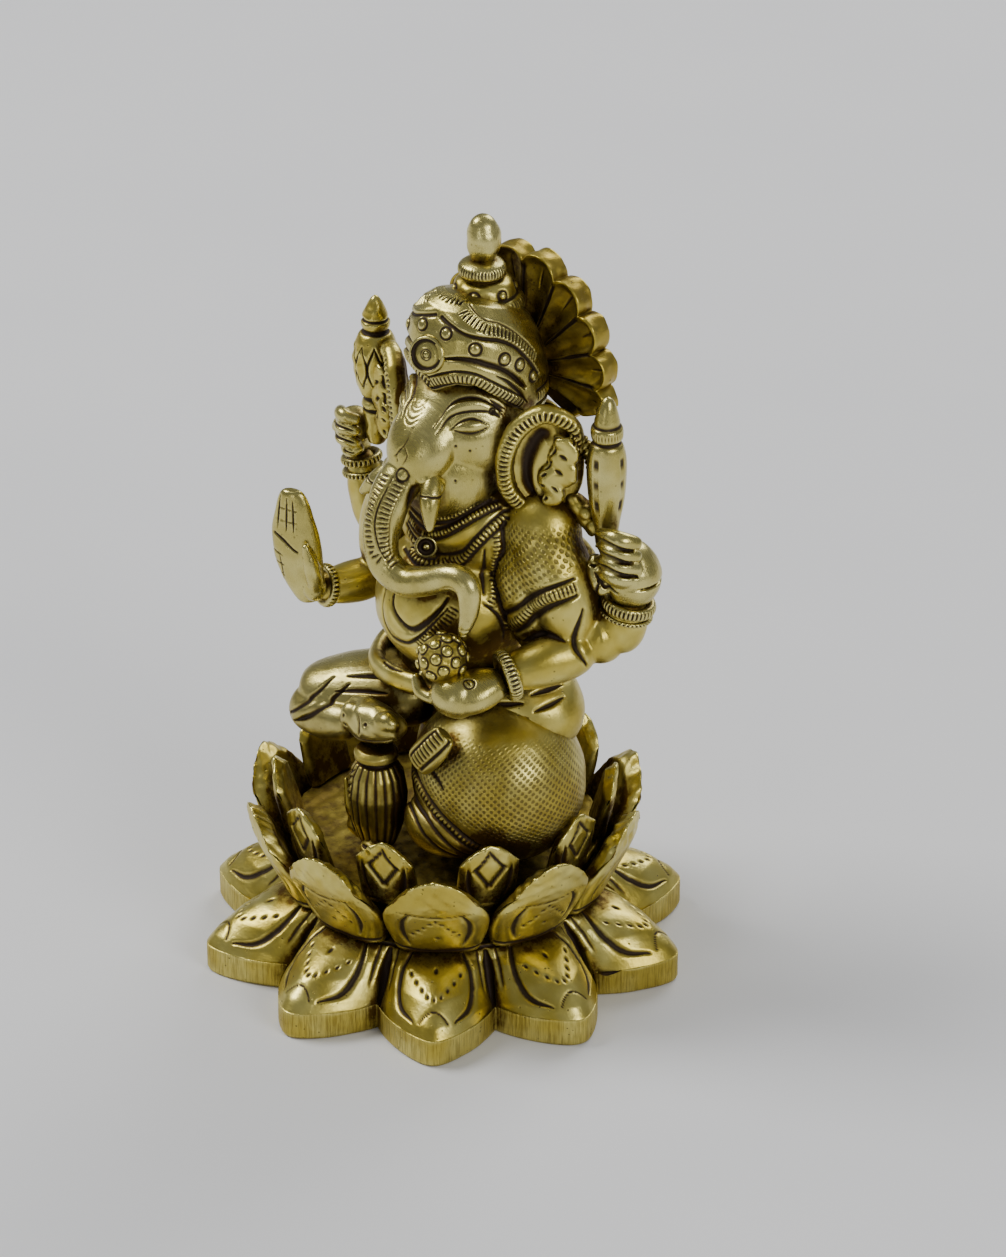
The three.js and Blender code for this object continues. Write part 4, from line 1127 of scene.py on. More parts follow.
def make_fan():
    """The lobed fan behind the crown: gouged petals with thick rounded ends, on a short stem."""
    centre = np.array([3.6, 18.6, 112])
    wide, high, lobe, half, count = 15.9, 18.9, 3.7, 2, 10
    step = math.radians(22)
    steps = [0, 0.44, 0.47, 0.53, 0.56, 1]

    def shape(across, up):
        angle = math.radians(-124) + across * math.radians(248)
        local = (angle + step * 4.5) / step
        offset = np.where((local > -0.5) & (local < 9.5), local - np.round(local), 0.5) * 2
        scallop = np.sqrt(np.clip(1 - (0.92 * offset) ** 2, 0, 1)) * lobe
        spread = np.where((local > -0.5) & (local < 9.5), scallop, 0)
        oval = wide * high / np.sqrt((high * np.sin(angle)) ** 2 + (wide * np.cos(angle)) ** 2)
        below = np.clip((np.abs(angle) - math.radians(99)) / math.radians(20), 0, 1)
        edge = (oval + spread) * (1 - below) + 13.4 * below
        radius = np.interp(up, steps, [0, 1, 1, 1, 1, 0]) * edge
        skin = np.interp(up, steps, [1, 1, 0.7, -0.7, -1, -1])
        edge = edge - 0.35 * (np.abs(up - 0.5) > 0.045)
        ramp = np.clip((radius - 4) / 8, 0, 1) * np.clip((edge - radius) / 1.6, 0, 1)
        cleft = np.exp(-(((np.abs(offset) - 1) * edge * 0.19) ** 2) * 8)
        scoop = 1.5 * (1 - offset**2) * ramp + 0.9 * cleft * ramp
        depth = half * skin - np.where(skin > 0.9, scoop, 0) + np.where(skin < -0.9,
                                                                        0.5 * ramp * (1 - offset**2), 0)
        place = np.stack([centre[0] + radius * np.sin(angle), centre[1] - depth,
                          centre[2] + radius * np.cos(angle)], 1)
        lacquer = np.exp(-((np.abs(offset) - 1) * radius * 0.19 / 0.5) ** 2) * ramp * (skin > 0.9)
        # The lacquer in the clefts is real fill; the gouged front is also marked with painted shade mixed
        # with tarnish.
        return place, {0: 0.9 * lacquer, 1: np.where(skin > 0.9, 0.45 * ramp, 0)}

    fan = wrapped("halo_lobed_fan", 620, 96, shape)
    chase = Chaser(fan)
    for index in range(count):
        angle = step * (index - 4.5)
        spoke = np.array([math.sin(angle), 0, math.cos(angle)])
        chase.groove(chase.drape([centre + spoke * reach - (0, 2, 0) for reach in (15.6, 17.8, 19.4)]), 0.3,
                     0.2, darkening=0.6)
    chase.finish()
    roughen(fan, 55, 3.4, 0.14)
    dress(fan, ["halo"], "dark_brass")

    stem = fuse("halo_stem", [
        limb([(2.8, 10.5, 86), (3.1, 15.2, 89), (3.4, 18, 95), (3.6, 18.6, 106)],
             [(3.4, 3), (4.6, 2.4), (6.6, 2), (9.5, 1.8)],
             (0, 1, 0.2), 0.25),
        ball((3, 13.6, 88.6), (5.4, 2.6, 3)),
    ], 0.28, 6)
    chase = Chaser(stem)
    for side in (-4, -2, 0, 2, 4):
        chase.groove(chase.drape([(3.1 + 0.7 * side, 17.4, 90), (3.3 + side, 20.2, 96),
                                  (3.6 + 1.3 * side, 21, 103)]), 0.4,
                     0.35)
    chase.ribs(chase.drape([(-1.6, 15.6, 88), (3, 17, 87.4), (7.6, 15.6, 88)]), 0.9, 0.9, 0.3)
    chase.finish()
    roughen(stem, 56, 4, 0.1)
    dress(stem, [], "dark_brass")


# ---- hands and what they hold ----
def make_front_left_hand():
    """The left palm that offers sweets, with curled fingers and a small ring mark on its heel."""
    fingers = [limb([(14.2, -17.6 + i * 1.9, 62.2 + i * 0.3), (10.4, -17.4 + i * 1.9, 62.6),
                     (8.5, -17 + i * 1.9, 65.4)],
                    [1.25, 1.2, 1]) for i in range(4)]
    hand = fuse("front_left_open_hand", fingers + [
        limb([(21.6, -8.2, 65.4), (18, -13.2, 63.4), (12.6, -15.6, 61.8)], [(4, 3), (5, 3.7), (3.8, 2.3)],
             blunt=0.4),
        ball((16.6, -14.8, 63.4), (4.9, 4.6, 4.3)),
    ], 0.2, 7)
    chase = Chaser(hand)
    mark = chase.drape([(19.6, -15, 66.2)])[0]
    chase.ring(mark, 0.95, 0.2, 0.22)
    chase.groove(chase.drape([mark + (-0.5, 0, 0.5), mark + (0.1, 0, 0), mark + (0.5, 0, -0.4)]), 0.2, 0.2)
    for index in range(3):
        y = -16.6 + index * 1.9
        chase.groove(chase.drape([(13.8, y - 1.4, 60.6), (10.6, y - 0.4, 60.8), (8, y, 62.8),
                                  (7.6, y, 65.6)]), 0.42, 0.5)
    for index in range(4):
        tip = chase.drape([(7.9, -17 + index * 1.9, 65.2)])[0]
        chase.ring(tip, 0.6, 0.18, 0.16, darkening=0.6)
    chase.finish()
    roughen(hand, 61, 3, 0.06)
    dress(hand, ["front_left_hand"], "worn_brass")

    centre = np.array([13.3, -14.9, 69.2])
    lumps = [ball(centre, (4.2, 4.2, 4.5))]
    golden = math.pi * (3 - math.sqrt(5))
    knobs = []
    for index in range(26):
        rise = 1 - (index + 0.5) / 18
        ring = math.sqrt(max(0.0, 1 - rise * rise))
        if rise < -0.35:
            break
        way = np.array([ring * math.cos(index * golden), ring * math.sin(index * golden), rise])
        knobs.append((centre + way * (4.2, 4.2, 4.5), way))
        lumps.append(ball(centre + way * (3.35, 3.35, 3.6), (1.55, 1.55, 1.55)))
    sweets = fuse("sweets_heap", lumps, 0.17, 5)
    chase = Chaser(sweets)
    for spot, way in knobs:
        chase.ring(chase.drape([spot + way])[0], 1.24, 0.22, 0.26, darkening=0.85)
    chase.finish()
    dress(sweets, ["sweets"], "figure_brass")


def make_front_right_hand():
    """The right palm raised in blessing, its fingers and palm lines engraved."""
    hand = fuse("front_right_raised_hand", [
        limb([(-23, -10.2, 65.8), (-24.6, -11.2, 73), (-25.2, -11.8, 79.6), (-25.4, -12.2, 88.2)],
             [(3.2, 2.5), (4.5, 2.5), (4.6, 2.2), (3.3, 1.6)], (0.35, -0.94, 0), 0.33),
        limb([(-20.9, -11, 68.6), (-20.4, -12.4, 73.4), (-21.4, -13.4, 79)], [1.7, 1.6, 1]),
        ball((-21.6, -11, 69.6), (2.4, 2, 3)),
    ], 0.19, 8)
    chase = Chaser(hand)
    front = np.array([-0.35, -0.94, 0]) * 2.6
    aside = np.array([0.94, -0.35, 0])
    base = np.array([-24.6, -11.2, 0])

    def palm(pairs):
        return chase.drape([base + front + aside * side + (0, 0, height) for side, height in pairs])

    chase.groove(palm([(-4.2, 80.4), (-1.4, 79), (1.6, 77.2), (3.8, 76.4)]), 0.34, 0.34)
    for side in (-1.9, 0, 1.9):
        chase.groove(palm([(side, 80.6), (side * 0.95, 83.6), (side * 0.8, 87)]), 0.26, 0.28)
    for side in (-2.8, -1, 0.9, 2.8):
        for height in (82.4, 84.8):
            chase.groove(palm([(side - 0.6, height), (side + 0.6, height)]), 0.16, 0.16, darkening=0.7)
    for height, width in ((75.4, 2), (73.4, 2.2), (71.2, 2), (69.2, 1.6)):
        chase.groove(palm([(-2.8, height + 0.6), (-2.8 + width, height)]), 0.22, 0.22, darkening=0.8)
    chase.groove(palm([(-1.6, 76), (-1.2, 72), (-1.6, 68.6)]), 0.22, 0.2, darkening=0.8)
    for side in (-2, 0, 2):
        back = [base - front * 1.1 + aside * side + (0, 0, height) for height in (80.6, 84, 87)]
        chase.groove(chase.drape(back), 0.3, 0.3)
    chase.finish()
    roughen(hand, 62, 4, 0.07)
    return dress(hand, ["front_right_hand"], "worn_brass")


def make_rear_right_hand():
    """The rear right hand closed round the goad, and the goad: a winged bud on a ringed grip."""
    hand = fuse("rear_right_gripping_hand", [
        limb([(-29.6, 9.8, 86.2), (-30.4, 9.2, 90.6), (-29.6, 8.6, 95)],
             [(3.3, 2.9), (4.1, 3.3), (3.1, 2.7)]),
        *[limb([(-32.2, 7.6, 94.6 - i * 2.4), (-29.4, 5.4, 95.2 - i * 2.4), (-26.2, 6.4, 94.8 - i * 2.4)],
               [1.35, 1.4, 1.2]) for i in range(3)],
        limb([(-30.6, 7, 88), (-28, 5.8, 88.2), (-26, 6.8, 89.4)], [1.3, 1.2, 1]),
    ], 0.2, 7)
    chase = Chaser(hand)
    for index in range(3):
        z = 93.4 - index * 2.4
        chase.groove(chase.drape([(-33, 6.4, z - 0.6), (-30, 4.2, z), (-26.4, 4.8, z - 0.2)]), 0.4, 0.45)
    chase.finish()
    roughen(hand, 63, 3, 0.09)
    dress(hand, ["rear_right_hand"], "worn_brass")

    outline = [(0, 90), (2.1, 90), (2.2, 96), (3, 97.4), (2.2, 99), (3.4, 101.4), (4.2, 105), (4.2, 109.4),
               (3, 112), (2.2, 112.8), (2.9, 113.8), (2.4, 115.6), (1.1, 118.6), (0, 119.5)]
    stem = turned("goad_stem", (0, 0), outline)
    place(stem, (-24.6, 9, 0), (0, 0, 0))
    wing = limb([(-23, 9, 101.5), (-19.4, 9, 105), (-19.3, 9, 110.8)], [(2.8, 1.2), (2.3, 1.1), (0.8, 0.7)],
                (0, 1, 0))
    goad = fuse("goad_winged_bud", [stem, wing], 0.18, 4)
    chase = Chaser(goad)
    axis = (-24.6, 9)
    for height, width in ((97.2, 0.5), (99.4, 0.7), (112.6, 0.55), (114.9, 0.4)):
        chase.groove(chase.wrap(axis, [(azimuth, height) for azimuth in range(-180, 181, 20)], 4), width,
                     0.45, taper=False)
    for azimuth in range(-160, 181, 40):
        chase.groove(chase.wrap(axis, [(azimuth, 102), (azimuth + 20, 106), (azimuth, 110.4)]), 0.3, 0.28)
        chase.groove(chase.wrap(axis, [(azimuth, 102), (azimuth - 20, 106), (azimuth, 110.4)]), 0.3, 0.28)
    chase.groove(chase.drape([(-22, 7.4, 103), (-20, 7.6, 106), (-19.5, 7.8, 109)]), 0.3, 0.3)
    chase.finish()
    roughen(goad, 64, 2.6, 0.1)
    dress(goad, ["goad"], "figure_brass")


def make_rear_left_hand():
    """The rear left fist round the mace, the mace with its ringed tip, and the twisted strand beside it."""
    hand = fuse("rear_left_fist", [
        limb([(33.2, 12, 77.4), (34, 12, 82.4), (33, 12, 88.6)], [(4.3, 4.1), (5.3, 5.1), (4.3, 3.9)]),
        *[limb([(37.2, 10.4, 90.4 - i * 2.5), (34.6, 7, 91.9 - i * 2.5), (29.4, 7.6, 91.2 - i * 2.6)],
               [1.55, 1.6, 1.3]) for i in range(4)],
        limb([(32, 7.4, 80), (29.6, 7.4, 83), (28.4, 8.4, 86.4)], [2, 1.8, 1.4]),
    ], 0.22, 6)
    chase = Chaser(hand)
    for index in range(3):
        z = 90.7 - index * 2.5
        chase.groove(chase.drape([(37.9, 8.8, z - 0.9), (35, 5.4, z + 0.2), (31, 5.6, z),
                                  (28.8, 6.8, z - 0.8)]), 0.62, 0.8)
    chase.groove(chase.drape([(30, 6.4, 84), (32.4, 6.2, 82.2), (35, 6.8, 81.2)]), 0.4, 0.45)
    chase.groove(chase.drape([(30.6, 6.8, 82.6), (31, 7.2, 80), (30.8, 7.8, 77.8)]), 0.5, 0.5)
    chase.finish()
    roughen(hand, 65, 4, 0.07)
    dress(hand, ["rear_left_hand"], "worn_brass")

    outline = [(0, 86), (1.9, 86), (2.2, 91), (3.1, 95), (3.6, 100), (3.4, 105), (2.8, 107.2), (2.7, 107.6),
               (3, 108.6), (3, 110), (2.3, 111.2), (1.7, 114), (0.9, 115.6), (0, 116.1)]
    mace = turned("mace_bud", (0, 0), outline)
    place(mace, (28.4, 11.2, 0), (0, 0, 0))
    chase = Chaser(mace)
    axis = (28.4, 11.2)
    for height, width in ((107.5, 0.45), (110.7, 0.4)):
        chase.groove(chase.wrap(axis, [(azimuth, height) for azimuth in range(-180, 181, 20)], 4), width,
                     0.45, taper=False)
    chase.ribs(chase.wrap(axis, [(azimuth, 109) for azimuth in range(-180, 181, 15)], 6), 0.55, 0.6, 0.14,
               0.4)
    for azimuth in (6, 96, 186, 276):
        chase.ribs(chase.wrap(axis, [(azimuth, 93), (azimuth, 99), (azimuth, 105)]), 0.55, 0.95, 0.24, 0.7)
    chase.finish()
    roughen(mace, 66, 5, 0.1)
    dress(mace, ["mace"], "worn_brass")

    strand = limb([(23.2, 9.9, 107.4), (25, 11.2, 102.6), (25.8, 11.9, 96.6), (26.8, 11.8, 90.6),
                   (29, 10.8, 86.6)],
                  [1.15, 1.25, 1.35, 1.45, 1.6], (0, 1, 0), 0.3, sides=40, rings=150, ripple=(1.1, 0.5))
    strand.name = strand.data.name = "rope_twisted_strand"
    dress(strand, ["rope_strand"], "figure_brass")


# ---- jewellery ----
def bangle(name, centre, axis, radius, section, pitch):
    """A ribbed bangle round a wrist. Axis runs along the arm, section is half width and thickness."""
    half, thick = section
    loop = [(radius + thick * math.cos(turn), half * math.sin(turn))
            for turn in np.linspace(0, 2 * math.pi, 11)]
    ring = turned(name, (0, 0), loop, steps=64, levels=2)
    pose = Vector(axis).to_track_quat("Z", "Y")
    place(ring, centre, pose.to_euler())
    round_ring = []
    for turn in np.linspace(0, 2 * math.pi, 25):
        round_ring.append(pose @ Vector(((radius + thick) * math.cos(turn),
                                         (radius + thick) * math.sin(turn), 0)))
    outer = np.array(round_ring) + centre
    chase = Chaser(ring)
    chase.ribs(outer, 0.68 * half, pitch, 0.3, 0.9)
    along = np.array(pose @ Vector((0, 0, 1)))
    for lift in (-1, 1):
        chase.groove(outer + along * lift * 0.98 * half, 0.2, 0.12, taper=False, darkening=0.8)
    chase.finish()
    return ring


def make_jewellery():
    """Bangles at the wrists and elbow, and the ringed pendant at the throat."""
    for name, centre, axis, radius, section, pitch in (
        ("bangle_front_left", (21.8, -7.2, 65.9), (-0.45, -0.84, -0.2), 3.9, (1.35, 0.95), 0.95),
        ("bangle_front_right", (-22.6, -6.8, 67.7), (-0.3, -0.95, 0.2), 3.3, (1, 0.8), 0.9),
        ("bangle_rear_right", (-29.4, 10, 85), (-0.18, -0.03, 1), 3.2, (0.9, 0.75), 0.9),
        ("bangle_rear_right_low", (-28.9, 10.1, 82.6), (-0.18, -0.03, 1), 3.5, (0.7, 0.65), 0.9),
        ("bangle_rear_left", (33.2, 11.8, 76.9), (0.2, 0.1, 1), 4.2, (1.25, 0.9), 0.85),
        ("bangle_rear_left_low", (32.8, 11.6, 75), (0.2, 0.1, 1), 4.3, (0.5, 0.7), 0.85),
    ):
        dress(bangle(name, centre, axis, radius, section, pitch), [], "worn_brass")
    pendant = turned("pendant_ring", (0, 0), [(0, 0), (2, 0), (2.15, 0.5), (1.95, 1.1), (1.5, 1.25),
                                              (1.1, 0.9), (0.95, 0.7),
                                         (0.7, 1), (0.4, 1.25), (0, 1.3)])
    place(pendant, (2.3, -7, 84.7), (math.radians(76), 0, math.radians(38)))
    chase = Chaser(pendant)
    chase.ring(chase.drape([(3.2, -8, 85)])[0], 1.2, 0.4, 0.35)
    chase.finish()
    dress(pendant, [], "worn_brass")
    curl = fuse("shoulder_curls", [
        limb([(20.6, 9.6, 94.6), (23.6, 10.4, 92.4), (26.6, 10.4, 88.6)], [2, 2, 1.4], (0, 1, 0)),
        ball((24.8, 9.8, 92.6), (1.5, 1.3, 1.5)), ball((26.6, 9.8, 90.4), (1.4, 1.2, 1.4)),
        ball((22, 9.4, 94.6), (1.5, 1.3, 1.5)),
    ], 0.2, 5)
    roughen(curl, 75, 3, 0.1)
    dress(curl, [], "figure_brass")


# ---- age and painted shade: lacquer in hollows, tarnish with painted shade where closed in or facing down, polish on crests ----
def pieces_made():
    return [piece for piece in bpy.data.objects if piece.type == "MESH" and "brass" in piece]


def crowding(clouds, cell=0.8, blur=1.6):
    """A blurred grid of where metal is, sampled to tell how closed in a place is."""
    every = np.vstack(clouds)
    low = every.min(0) - 12
    shape = np.ceil((every.max(0) + 12 - low) / cell).astype(int)
    grid = np.zeros(shape)
    index = ((every - low) / cell).astype(int)
    grid[tuple(index.T)] = 1
    waves = np.fft.rfftn(grid)
    for axis, size in enumerate(shape):
        turns = np.fft.rfftfreq(size) if axis == 2 else np.fft.fftfreq(size)
        fade = np.exp(-2 * (math.pi * turns * blur / cell) ** 2)
        waves *= fade.reshape([-1 if other == axis else 1 for other in range(3)])
    grid = np.fft.irfftn(waves, s=tuple(shape), axes=(0, 1, 2))

    def sample(points):
        spots = np.clip(((points - low) / cell).astype(int), 0, shape - 1)
        return grid[tuple(spots.T)]

    return sample


def age_and_painted_shade():
    """Marks the finish of every piece from its own hollows and crests, and paints shade, mixed with tarnish,
    where it stands closed in or faces down.
    """
    pieces = pieces_made()
    clouds = [read_points(piece.data) / MM for piece in pieces]
    crowd = crowding(clouds)
    for piece, points in zip(pieces, clouds):
        mesh = piece.data
        normals = read_normals(mesh)
        bend = hollow_of(mesh)
        finish = read_finish(mesh)
        closed = 0.5 * crowd(points + normals * 3) + 0.5 * crowd(points + normals * 5.5)
        # Painted shade mixed with tarnish: how closed in each point stands sets how dark it is marked.
        shade_and_tarnish = np.clip((closed - 0.07) / 0.2, 0, 1)
        # Painted shade: faces turned downwards are marked darker too.
        down = 0.35 * np.clip(-normals[:, 2] - 0.3, 0, 1)
        write_finish(mesh, 0, np.maximum(finish[:, 0], np.clip(1.3 * bend - 0.45, 0, 0.9)))
        write_finish(mesh, 1, np.maximum(finish[:, 1], np.clip(shade_and_tarnish + down, 0, 1)))
        write_finish(mesh, 2, np.clip(-0.9 * bend - 0.02, 0, 1))


# ---- materials ----
def to_linear(code):
    """An sRGB hex colour as linear red, green and blue."""
    parts = [int(code[i:i + 2], 16) / 255 for i in (1, 3, 5)]
    return tuple(part / 12.92 if part <= 0.04045 else ((part + 0.055) / 1.055) ** 2.4 for part in parts)


def add_node(tree, kind, inputs=(), **settings):
    """Adds a node; inputs pairs a socket's name or number with a value or with another node's output."""
    node = tree.nodes.new(kind)
    for key, value in settings.items():
        setattr(node, key, value)
    for socket, value in dict(inputs).items():
        if isinstance(value, bpy.types.NodeSocket):
            tree.links.new(value, node.inputs[socket])
        else:
            node.inputs[socket].default_value = value
    return node


def per_metre(millimetres):
    """The texture scale that gives a grain of this size."""
    return 1 / (millimetres * MM)


def cast_brass(name, bright, pale, tarnish_and_shade, roughness, wear, shade_and_grime, pits, lower_shade_strength=0.0):
    """Cast, chased and hand-rubbed brass. The finish attribute says where lacquer, painted shade with
    tarnish, and polish lie, and the last argument is how strongly painted shade darkens and dulls the metal
    below the waist."""
    look = bpy.context.scene.idol_look
    material = bpy.data.materials.new(name)
    material.use_nodes = True
    tree = material.node_tree
    tree.nodes.clear()

    def math_node(operation, a, b=0.0, c=0.0, clamp=False):
        return add_node(tree, "ShaderNodeMath", {0: a, 1: b, 2: c}, operation=operation,
                        use_clamp=clamp).outputs[0]

    def blend_colour(share, a, b):
        return add_node(tree, "ShaderNodeMix", {0: share, 6: a, 7: b}, data_type="RGBA").outputs[2]

    def noise(size, detail=3.0, rough=0.55, vector=None):
        inputs = {"Vector": vector or place, "Scale": per_metre(size), "Detail": detail, "Roughness": rough}
        return add_node(tree, "ShaderNodeTexNoise", inputs).outputs["Fac"]

    def between(value, low, high, start=0.0, end=1.0):
        inputs = {"Value": value, "From Min": low, "From Max": high, "To Min": start, "To Max": end}
        return add_node(tree, "ShaderNodeMapRange", inputs, interpolation_type="SMOOTHSTEP").outputs[0]

    place = add_node(tree, "ShaderNodeTexCoord").outputs["Object"]
    finish = add_node(tree, "ShaderNodeAttribute", attribute_name="finish")
    lacquer, shade_and_tarnish, polish = add_node(tree, "ShaderNodeSeparateColor",
                                        {"Color": finish.outputs["Color"]}).outputs[:3]
    filed = finish.outputs["Alpha"]

    # Painted shade: the lap and legs are made darker and duller than what is above them, fading out between
    # 34 and 64 mm up.
    height = add_node(tree, "ShaderNodeSeparateXYZ", {0: place}).outputs[2]
    lower_shade = between(height, 34 * MM, 64 * MM, lower_shade_strength, 0)

    # The alloy is uneven over a finger's width, and rubbing leaves it paler on what stands out.
    tone = between(noise(9, 2), 0.35, 0.7)
    metal = blend_colour(tone, (*bright, 1), (*pale, 1))
    rubbed = between(polish, 0.05, 0.45, 0, wear)
    rubbed = math_node("MULTIPLY", rubbed, math_node("SUBTRACT", 1.0, lower_shade))
    metal = blend_colour(rubbed, metal, (*pale, 1))

    # File strokes run down the foot's edge and hold some dirt.
    strokes = add_node(tree, "ShaderNodeMapping", {"Vector": place, "Scale": (1, 1, 0.07)})
    file_lines = noise(0.34, 3, 0.6, strokes.outputs[0])

    # Tarnish gathers in patches a few millimetres wide; painted shade, in the tarnish colour, is added where
    # the surface is closed in or faces down.
    patch = between(noise(2.6, 5, 0.62), 0.36, 0.66)
    speck = between(noise(0.5, 2), 0.5, 0.72)
    # Painted shade mixed with tarnish, read from the finish attribute's green channel.
    shaded_tarnish_amount = math_node("MULTIPLY", shade_and_tarnish, shade_and_grime)
    darkening = math_node("MULTIPLY_ADD", patch, math_node("MULTIPLY_ADD", shaded_tarnish_amount, 0.75, 0.1),
                      math_node("MULTIPLY", shaded_tarnish_amount, 0.6))
    darkening = math_node("MULTIPLY_ADD", speck, math_node("MULTIPLY", shaded_tarnish_amount, 0.3), darkening)
    darkening = math_node("MULTIPLY_ADD", between(lacquer, 0.04, 0.5), 0.55, darkening)
    darkening = math_node("MULTIPLY_ADD", math_node("MULTIPLY", filed, between(file_lines, 0.4, 0.66)), 0.38,
                      darkening)
    darkening = math_node("MULTIPLY", darkening, math_node("MULTIPLY_ADD", rubbed, -0.6, 1.0))
    # Painted shade below the waist pulls the colour towards the tarnish colour.
    darkening = math_node("MULTIPLY_ADD", lower_shade, math_node("MULTIPLY_ADD", patch, 0.3, 0.5), darkening, clamp=True)
    # The tarnish colour here covers both real tarnish and painted shade.
    metal = blend_colour(darkening, metal, (*tarnish_and_shade, 1))

    # Dark lacquer was rubbed into the cuts and wiped off the raised faces, so its edge is ragged.
    ragged = math_node("MULTIPLY_ADD", noise(0.7, 3), 0.7, -0.35)
    film = math_node("ADD", math_node("MULTIPLY", lacquer, look.lacquer_strength),
                     math_node("MULTIPLY", ragged, lacquer))
    film = between(film, 0.26, 0.78, 0, 0.97)

    # Casting pits and small digs hold lacquer too; each is about a third of a millimetre across.
    holes = add_node(tree, "ShaderNodeTexVoronoi",
                     {"Vector": place, "Scale": per_metre(1.3), "Randomness": 1.0})
    pitted = math_node("MULTIPLY", between(holes.outputs["Distance"], 0.1, 0.17, 1, 0),
                       between(noise(4.2, 1), 0.52, 0.6))
    pitted = math_node("MULTIPLY", pitted, pits)
    film = math_node("MAXIMUM", film, math_node("MULTIPLY", pitted, 0.75))

    # A pecked cloth shows as rows of small punched dots.
    cloth = add_node(tree, "ShaderNodeAttribute", attribute_name="cloth").outputs["Vector"]
    woven = add_node(tree, "ShaderNodeSeparateXYZ", {0: cloth})
    flat = add_node(tree, "ShaderNodeCombineXYZ",
                    {0: woven.outputs[0], 1: woven.outputs[1], 2: 0.0}).outputs[0]
    tilt = add_node(tree, "ShaderNodeMapping", {"Vector": flat, "Rotation": (0, 0, math.radians(38)),
                                                "Scale": (1 / look.dot_pitch * MM,) * 3}).outputs[0]
    cell = add_node(tree, "ShaderNodeVectorMath", {0: tilt}, operation="FRACTION").outputs[0]
    cell = add_node(tree, "ShaderNodeVectorMath", {0: cell, 1: (0.5, 0.5, 0)},
                    operation="SUBTRACT").outputs[0]
    reach = add_node(tree, "ShaderNodeVectorMath", {0: cell}, operation="LENGTH").outputs["Value"]
    pecked = math_node("MULTIPLY", between(reach, 0.2, 0.42, 1, 0), woven.outputs[2])
    film = math_node("MAXIMUM", film, math_node("MULTIPLY", pecked, 0.62))
    film = math_node("MINIMUM", film, 1.0)
    colour = blend_colour(film, metal, (*to_linear("#2a1a0b"), 1))

    # Fine scratches run every way from years of wiping.
    swirl = add_node(tree, "ShaderNodeMapping",
                     {"Vector": place, "Rotation": (0.5, 0.9, 0.3), "Scale": (1, 9, 1)})
    scratch = between(noise(1.5, 4, 0.7, swirl.outputs[0]), 0.4, 0.7)
    gloss = math_node("MULTIPLY_ADD", scratch, 0.1, roughness)
    gloss = math_node("MULTIPLY_ADD", darkening, 0.22, gloss)
    gloss = math_node("MULTIPLY_ADD", rubbed, -0.09, gloss)
    gloss = math_node("MULTIPLY_ADD", filed, 0.12, gloss)
    gloss = add_node(tree, "ShaderNodeMix", {0: film, 2: gloss, 3: 0.6}).outputs[0]
    metallic = math_node("MULTIPLY_ADD", film, -0.5, 1.0)

    # The skin of the casting, from broad unevenness down to fine grain, then cuts and strokes.
    relief = math_node("MULTIPLY", noise(1.7, 3, 0.5), 0.6)
    relief = math_node("MULTIPLY_ADD", noise(0.35, 2), 0.16, relief)
    relief = math_node("MULTIPLY_ADD", scratch, -0.05, relief)
    relief = math_node("MULTIPLY_ADD", pitted, -0.8, relief)
    relief = math_node("MULTIPLY_ADD", pecked, -1.1, relief)
    relief = math_node("MULTIPLY_ADD", math_node("MULTIPLY", file_lines, filed), 2.2, relief)
    bump = add_node(tree, "ShaderNodeBump", {"Height": relief, "Strength": 0.9, "Distance": 0.13 * MM})

    shader = add_node(tree, "ShaderNodeBsdfPrincipled", {
        "Base Color": colour, "Metallic": metallic, "Roughness": gloss, "Normal": bump.outputs[0],
    })
    add_node(tree, "ShaderNodeOutputMaterial", {"Surface": shader.outputs[0]})
    return material


def make_finishes():
    """Gives each piece the brass of its slot."""
    look = bpy.context.scene.idol_look
    bright, pale, tarnish_and_shade = tuple(look.bright), tuple(look.pale), tuple(look.tarnish_and_shade)
    green = to_linear("#d8cd83")
    brasses = {
        # Yellow cast brass, chased all over: mid gold with bright edges.
        "lotus_brass": cast_brass("chased_cast_yellow_brass", bright, pale, tarnish_and_shade, 0.28, 0.85, 0.85, 1.0),
        # The same metal on the figure, satin from its engraving.
        "figure_brass": cast_brass("engraved_satin_cast_brass", bright, pale, tarnish_and_shade,
                                   0.3, 0.8, 0.95, 0.8, 0.6),
        # Face, trunk and hands, rubbed by many hands to a pale greenish gold.
        "worn_brass": cast_brass("hand_rubbed_cast_brass", tuple(look.rubbed), green, tarnish_and_shade,
                                 0.24, 0.6, 0.75, 0.45, 0.65),
        # A darker brown brass for the lotus floor, the fan behind the crown, its stem and the footrest leaf.
        "dark_brass": cast_brass("unpolished_tarnished_cast_brass", to_linear("#ab9440"), bright,
                                 to_linear("#54401f"), 0.34, 0.7, 0.72, 1.0),
    }
    for piece in pieces_made():
        piece.data.materials.clear()
        piece.data.materials.append(brasses[piece["brass"]])


# ---- stage ----
def aim(thing, target):
    thing.rotation_euler = (Vector(target) - thing.location).to_track_quat("-Z", "Y").to_euler()


